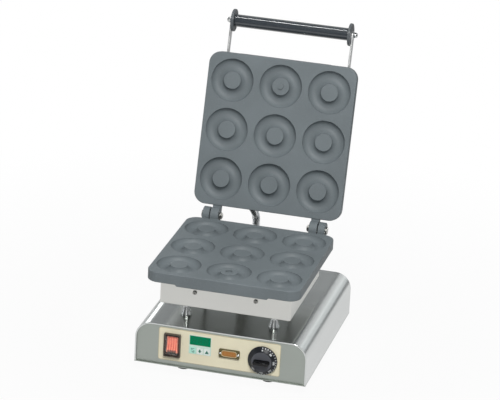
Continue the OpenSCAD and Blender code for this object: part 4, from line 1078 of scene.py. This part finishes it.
class DONUTMAKER_OT_stage(BuildStep, bpy.types.Operator):
    """Sets up the camera, the soft lights, the room and the floor"""

    bl_idname = "donut_maker.stage"
    bl_label = "Stage"

    def execute(self, context):
        scene, stage = bpy.context.scene, look("stage")
        scene.view_settings.view_transform = "Standard"
        self.place_camera(scene)
        self.place_lights(scene, stage)
        self.paint_room(scene, stage)
        self.lay_floor(scene)
        return {"FINISHED"}

    def place_camera(self, scene):
        """At an azimuth, an elevation and a roll in degrees round its target."""
        azimuth, elevation, roll = 13.61, 21.12, 2.97
        target, distance = Vector((-2.28, -36.96, 274.4)), 4944.39
        image_width, focal_pixels = 500, 2888.26
        data = bpy.data.cameras.new("front view")
        data.sensor_fit, data.sensor_width = "HORIZONTAL", 36.0
        data.lens = focal_pixels / image_width * data.sensor_width
        data.clip_end = 50
        camera = bpy.data.objects.new("front view", data)
        facing = turn(azimuth, "Z") @ turn(90 - elevation, "X") @ turn(roll, "Z")
        camera.matrix_world = shift(*target * MM) @ facing @ shift(z=distance * MM)
        scene.collection.objects.link(camera)
        scene.camera = camera

    def place_lights(self, scene, stage):
        """Soft lights aimed at the object: name, place in metres, width, height, power and tint."""
        fill, white = stage.fill, (1.0, 1.0, 1.0)
        soft = (
            ("key light", (0.65, -1.9, 2.4), 1.1, 0.9, stage.key, (1.0, 0.995, 0.98)),
            ("left light", (-2.2, -0.9, 0.9), 1.0, 1.4, fill, (0.97, 0.99, 1.0)),
            ("front light", (0.6, -2.9, 0.9), 1.6, 1.0, fill * 0.8, (1.0, 1.0, 0.99)),
            ("rear light", (0.2, 1.5, 1.9), 1.8, 0.3, fill * 0.6, white),
            ("rear right light", (0.85, 2.75, 1.15), 1.3, 0.55, fill * 0.42, white),
            ("rear left light", (-0.72, 0.95, 0.38), 0.3, 0.24, fill * 0.14, white),
            ("overhead strip", (-0.53, -0.16, 2.9), 0.1, 0.42, fill * 2.0, white),
        )
        for name, place, width, height, power, tint in soft:
            data = bpy.data.lights.new(name, "AREA")
            data.shape, data.size, data.size_y = "RECTANGLE", width, height
            data.energy, data.color = power, tint
            light = bpy.data.objects.new(name, data)
            light.visible_camera = False
            facing = (Vector((0, 0, 0.2)) - Vector(place)).to_track_quat("-Z", "Y").to_matrix()
            light.matrix_world = Matrix.Translation(place) @ facing.to_4x4()
            scene.collection.objects.link(light)

    def paint_room(self, scene, stage):
        """White to the eye; to the object, a pale horizon under a greyer ceiling."""
        world = bpy.data.worlds.new("studio room")
        world.use_nodes = True
        scene.world = world
        w = Nodes(world.node_tree)
        direction = w.node("SeparateXYZ", {0: w.node("TexCoord")["Generated"]})
        colours = w.node("ValToRGB", {0: direction["Z"]})["Color"]
        ramp = colours.node.color_ramp.elements
        stops = [(0.0, 0.12), (0.06, 0.12), (0.12, 1.0), (0.27, 1.0), (0.33, 0.25)]
        stops.append((0.4, stage.ceiling))
        while len(ramp) < len(stops):
            ramp.new(0.5)
        for element, (height, level) in zip(ramp, stops):
            element.position, element.color = height, (level * 0.96, level * 0.99, level, 1)
        strength = w.spread(direction["Y"], stage.behind_viewer, 1.0, -0.55, 0.25)
        room = w.wire(w.tree.nodes["Background"], {"Color": colours, "Strength": strength})
        white = w.node("Background", {"Color": (1, 1, 1, 1)})[0]
        rays = w.node("LightPath")
        seen = w.math("MAXIMUM", rays["Is Camera Ray"], rays["Is Transmission Ray"])
        mixed = w.node("MixShader", {0: seen, 1: room.outputs[0], 2: white})[0]
        w.wire(w.tree.nodes["World Output"], {"Surface": mixed})

    def lay_floor(self, scene):
        """A round floor that glows white far out and takes the object's shadow near it. To reflections it shows a
        painted shadow round the object, and it is greyer far out.
        """
        count, reach = 8, 3.0
        rings = [(reach * (k / count) ** 1.5 / MM, 0) for k in range(count, 0, -1)]
        form = turned(rings + [(0, 0)], sides=96)
        mesh = bpy.data.meshes.new("floor")
        mesh.from_pydata([tuple(p * MM) for p in form.points], [], [f[::-1] for f in form.faces])
        floor = bpy.data.objects.new("floor", mesh)
        scene.collection.objects.link(floor)
        f = Finish("floor paper", Roughness=0.95, Specular_IOR_Level=0.1)
        f.wire(f.shader, {"Base Color": f.clouded(f.noise(3.0), "stage.floor", 0.99, 1.01)})
        glow = f.node("Emission", {"Color": (1, 1, 1, 1), "Strength": 1.0})[0]
        rays = f.node("LightPath")
        far = f.node("VectorMath", {0: f.coords}, operation="LENGTH")["Value"]
        straight = f.math("MULTIPLY", rays["Is Camera Ray"], f.spread(far, 0.95, 1.0, 0.35, 1.0))
        # Glossy rays see less of the white glow near the object, a painted shadow round it, and little of it far
        # out.
        painted_shadow_near_object, far_out = f.spread(far, 0.7, 0.97, 0.3, 0.8), f.spread(far, 1, 0.2, 0.75, 1.1)
        mirrored = f.math("MULTIPLY", painted_shadow_near_object, far_out)
        share = f.math("MULTIPLY_ADD", rays["Is Glossy Ray"], mirrored, straight)
        mixed = f.node("MixShader", {0: share, 1: f.shader.outputs[0], 2: glow})[0]
        f.wire(f.tree.nodes["Material Output"], {"Surface": mixed})
        mesh.materials.append(f.material)


class DONUTMAKER_OT_finishes(BuildStep, bpy.types.Operator):
    """Gives every frame node the finish of its material slot"""

    bl_idname = "donut_maker.finishes"
    bl_label = "Finishes"

    def execute(self, context):
        for row in frame["record"]["subparts"]:
            node, slot = row["node"], row["material_slot"]
            if node in ("front_panel", "bottom_plate"):
                slot = "panel_steel"
            mesh = frame["nodes"][node].data
            mesh.materials.clear()
            mesh.materials.append(finish(slot))
        return {"FINISHED"}


class DONUTMAKER_OT_base(BuildStep, bpy.types.Operator):
    """Builds the base cover, its feet and the standoffs"""

    bl_idname = "donut_maker.base"
    bl_label = "Base"

    def execute(self, context):
        piece("cover_sheet", cover_form(), "base", "cover_steel", ["base_cover"])
        feet_y = middle("rubber_feet").y
        feet = foot_form().placed(*[shift(x, feet_y + y) for x, y in four(*FEET_APART)])
        piece("turned_feet", feet, "base", "feet_rubber", ["rubber_feet"])
        seats = [shift(x, PLATE_Y + y, BASE_TOP) for x, y in four(*STANDOFFS_APART)]
        standoffs = standoff_form().placed(*seats)
        piece("turned_standoffs", standoffs, "base", "standoff_steel", ["standoffs"])
        return {"FINISHED"}


class DONUTMAKER_OT_castings(BuildStep, bpy.types.Operator):
    """Builds the two ring-mould castings with their knuckles"""

    bl_idname = "donut_maker.castings"
    bl_label = "Castings"

    def execute(self, context):
        lower, lid = casting_form(False).placed(LOWER_UNIT), casting_form(True).placed(LID_UNIT)
        piece("lower_casting", lower, "base", "plate_coating", ["lower_plate"])
        piece("lid_casting", lid, "lid", "plate_coating", ["lid_plate"])
        return {"FINISHED"}


class DONUTMAKER_OT_heater_boxes(BuildStep, bpy.types.Operator):
    """Builds the two folded heater boxes and the screws that hold them"""

    bl_idname = "donut_maker.heater_boxes"
    bl_label = "Heater boxes"

    def execute(self, context):
        for name, width, height, place, body in (
            ("lower", LOWER_BOX_WIDTH, LOWER_BOX_HEIGHT, LOWER_UNIT, "base"),
            ("lid", LID_BOX_WIDTH, LID_BOX_HEIGHT, LID_UNIT, "lid"),
        ):
            box = heater_box_form(width, height).placed(place)
            piece(name + "_folded_box", box, body, "box_steel", [name + "_box"])
            screws = cross_screw_form(9.0).placed(*[place @ seat for seat in box_screw_places()])
            nodes = [name + "_box_screws"]
            piece(name + "_cross_screws", screws, body, "bright_steel", nodes, "screw_steel", sharp=35)
        return {"FINISHED"}


class DONUTMAKER_OT_overlay(BuildStep, bpy.types.Operator):
    """Adds the overlay's printed edge, the display's figures and the print round the keys"""

    bl_idname = "donut_maker.overlay"
    bl_label = "Control overlay"

    def execute(self, context):
        low, high = span("control_overlay")
        centre = middle("control_overlay")
        outline = rounded(high.x - low.x, high.z - low.z, 4.0)
        line = ring_frame(outline, [(0.15, -0.1), (0.15, 0.05), (0.8, 0.05), (0.8, -0.1)])
        line = line.placed(on_panel(centre.x, centre.z, OVERLAY_OUT))
        piece("overlay_edge_line", line, "base", "overlay_plastic", wears="film_line")
        piece("key_surround", key_surround_form(), "base", "key_white", wears="mint_print")
        place = on_panel(middle("display_window").x, DISPLAY_Z, OVERLAY_OUT)
        figures = segment_form().placed(place)
        piece("display_figures", figures, "base", "display_glass", wears="segment_print")
        return {"FINISHED"}


class DONUTMAKER_OT_mains_switch(BuildStep, bpy.types.Operator):
    """Builds the mains switch: frame, clear cap and lit rocker"""

    bl_idname = "donut_maker.mains_switch"
    bl_label = "Mains switch"

    def execute(self, context):
        section = [(0.5, 0), (0, 0.5), (0, 4.0), (0.35, 4.7), (1.0, 5.0), (1.9, 4.9), (2.1, 4.4)]
        section.append((2.1, 0))
        surround = ring_frame(rounded(29.5, 42.5, 2.0), section)
        surround = surround.placed(on_panel(*SWITCH, OVERLAY_OUT))
        piece("switch_surround", surround, "base", "frame_plastic", ["switch_frame"])
        cap = switch_cap_form().placed(on_panel(*SWITCH))
        piece("clear_cap", cap, "base", "clear_plastic", ["splash_cap"])
        axle = on_panel(*SWITCH, -2.0) @ turn(-9, "X")
        body, ribs, end = (form.placed(axle) for form in (*rocker_forms(), rocker_end_form()))
        piece("lit_rocker", body, "rocker", "rocker_plastic", ["switch_rocker"], edge=0.25)
        # The ribs wear the rocker's glow with a painted highlight, lighter and brighter than the body.
        piece("rocker_ribs", ribs, "rocker", "rocker_plastic", wears="rocker_ribs", edge=0.2)
        piece("rocker_end_ribs", end, "rocker", "black_plastic", wears="rocker_end")
        return {"FINISHED"}


class DONUTMAKER_OT_keys(BuildStep, bpy.types.Operator):
    """Adds the marks on the timer's keys"""

    bl_idname = "donut_maker.keys"
    bl_label = "Timer keys"

    def execute(self, context):
        for key, form in key_mark_forms().items():
            mark = form.placed(shift(middle(key).x, span(key)[0].y, KEY_Z) @ FACE_FRONT)
            piece(key + "_mark", mark, key, "key_teal", wears="teal_print")
        return {"FINISHED"}


class DONUTMAKER_OT_pilot_lamp(BuildStep, bpy.types.Operator):
    """Adds a pale ring round the pilot lamp's lens, a painted highlight on the bezel's bevel"""

    bl_idname = "donut_maker.pilot_lamp"
    bl_label = "Pilot lamp"

    def execute(self, context):
        section = [(-1.3, 0), (-1.3, 0.35), (-0.9, 0.6), (-0.35, 0.6), (0, 0.3), (0, 0)]
        outline = ring_frame(rounded(25.2, 9.2, 3.2, steps=8), section)
        outline = outline.placed(on_panel(*LAMP, LAMP_OUT))
        # The pale ring is a painted highlight on the bevel.
        piece("lamp_outline", outline, "base", "lamp_frame", wears="tan_trim")
        return {"FINISHED"}


class DONUTMAKER_OT_thermostat_knob(BuildStep, bpy.types.Operator):
    """Builds the thermostat knob with its figures and ticks"""

    bl_idname = "donut_maker.thermostat_knob"
    bl_label = "Thermostat knob"

    def execute(self, context):
        for name, form, nodes, wears in (
            ("round_knob", knob_form(), ["thermostat_knob"], None),
            # The face disc wears painted sheen, a lighter copy of the knob's plastic.
            ("knob_face", knob_face_form(), (), "knob_face"),
            # The grip bar wears painted shade, a near-black copy of the knob's plastic.
            ("knob_bar", knob_bar_form(), (), "knob_bar"),
            ("knob_figures", scale_form(), (), "white_print"),
        ):
            form = form.placed(on_panel(*KNOB, KNOB_OUT))
            piece(name, form, "knob", "knob_plastic", nodes, wears)
        return {"FINISHED"}


class DONUTMAKER_OT_handle(BuildStep, bpy.types.Operator):
    """Builds the lid's handle: bars, guards, grip and nuts"""

    bl_idname = "donut_maker.handle"
    bl_label = "Handle"

    def execute(self, context):
        for name, side in (("left", -1), ("right", 1)):
            piece("flat_bar_" + name, bar_form(side), "lid", "bar_chrome", ["handle_bar_" + name])
        ends = []
        for side in (-1, 1):
            ends.append(AT_GRIP @ Matrix.Diagonal((side, 1, 1, 1)) @ shift(GRIP_HALF) @ ALONG_X)
        piece("heat_guards", guard_form().placed(*ends), "lid", "guard_plastic", ["handle_guards"])
        grip = grip_form().placed(AT_GRIP @ ALONG_X)
        piece("grip_tube", grip, "lid", "grip_plastic", ["handle_grip"])
        seat = shift(z=BAR_OUTSIDE - GRIP_HALF) @ Matrix.Scale(NUT_SCALE, 4)
        nuts = cap_nut_form().placed(*[end @ seat for end in ends])
        piece("cap_nuts", nuts, "lid", "bright_steel", ["handle_nuts"], sharp=30)
        screws = cross_screw_form(7.0).placed(*bar_screw_places())
        piece("bar_cross_screws", screws, "lid", "bright_steel", ["bar_screws"], sharp=35)
        return {"FINISHED"}


class DONUTMAKER_OT_conduit(BuildStep, bpy.types.Operator):
    """Builds the folded metal conduit that feeds the lid"""

    bl_idname = "donut_maker.conduit"
    bl_label = "Conduit"

    def execute(self, context):
        radius, per_fold, straight = 7.0, 6, 0.05
        depth = look("conduit").depth
        path = conduit_path(look("conduit").pitch, per_fold)
        fold = [depth * (0.5 - 0.5 * math.cos(math.tau * k / per_fold)) for k in range(len(path))]
        form = tube(path, [radius - f for f in fold], sides=28)
        last = len(path) - 1
        start, end = path[int(last * straight)], path[int(last * (1 - straight))]
        piece("folded_conduit", form, None, "conduit_metal", ["conduit"],
              blended=("base", "lid", tuple(start * MM), tuple(end * MM)))
        return {"FINISHED"}


OPERATORS = (
    DONUTMAKER_OT_stage,
    DONUTMAKER_OT_finishes,
    DONUTMAKER_OT_base,
    DONUTMAKER_OT_castings,
    DONUTMAKER_OT_heater_boxes,
    DONUTMAKER_OT_overlay,
    DONUTMAKER_OT_mains_switch,
    DONUTMAKER_OT_keys,
    DONUTMAKER_OT_pilot_lamp,
    DONUTMAKER_OT_thermostat_knob,
    DONUTMAKER_OT_handle,
    DONUTMAKER_OT_conduit,
)

LOOKS = {
    "castings": CastingLook,
    "sheets": SheetLook,
    "controls": ControlLook,
    "handle": HandleLook,
    "conduit": ConduitLook,
    "stage": StageLook,
}


class DONUTMAKER_PT_build(bpy.types.Panel):
    """Sizes, colours and build steps of the donut maker"""

    bl_idname = "DONUTMAKER_PT_build"
    bl_label = "Donut maker"
    bl_space_type = "VIEW_3D"
    bl_region_type = "UI"
    bl_category = "Donut maker"

    def draw(self, context):
        for name, group in LOOKS.items():
            box = self.layout.box()
            box.label(text=name.capitalize())
            for prop in group.__annotations__:
                box.prop(look(name), prop)
        for operator in OPERATORS:
            self.layout.operator(operator.bl_idname)


CLASSES = (*LOOKS.values(), *OPERATORS, DONUTMAKER_PT_build)


def register():
    for cls in CLASSES:
        bpy.utils.register_class(cls)
    for name, group in LOOKS.items():
        setattr(bpy.types.Scene, "donut_maker_" + name, PointerProperty(type=group))


def unregister():
    for name in LOOKS:
        delattr(bpy.types.Scene, "donut_maker_" + name)
    for cls in reversed(CLASSES):
        bpy.utils.unregister_class(cls)


def main():
    register()
    for operator in OPERATORS:
        group, name = operator.bl_idname.split(".")
        getattr(getattr(bpy.ops, group), name)()
    bpy.context.view_layer.update()


if __name__ == "__main__":
    main()
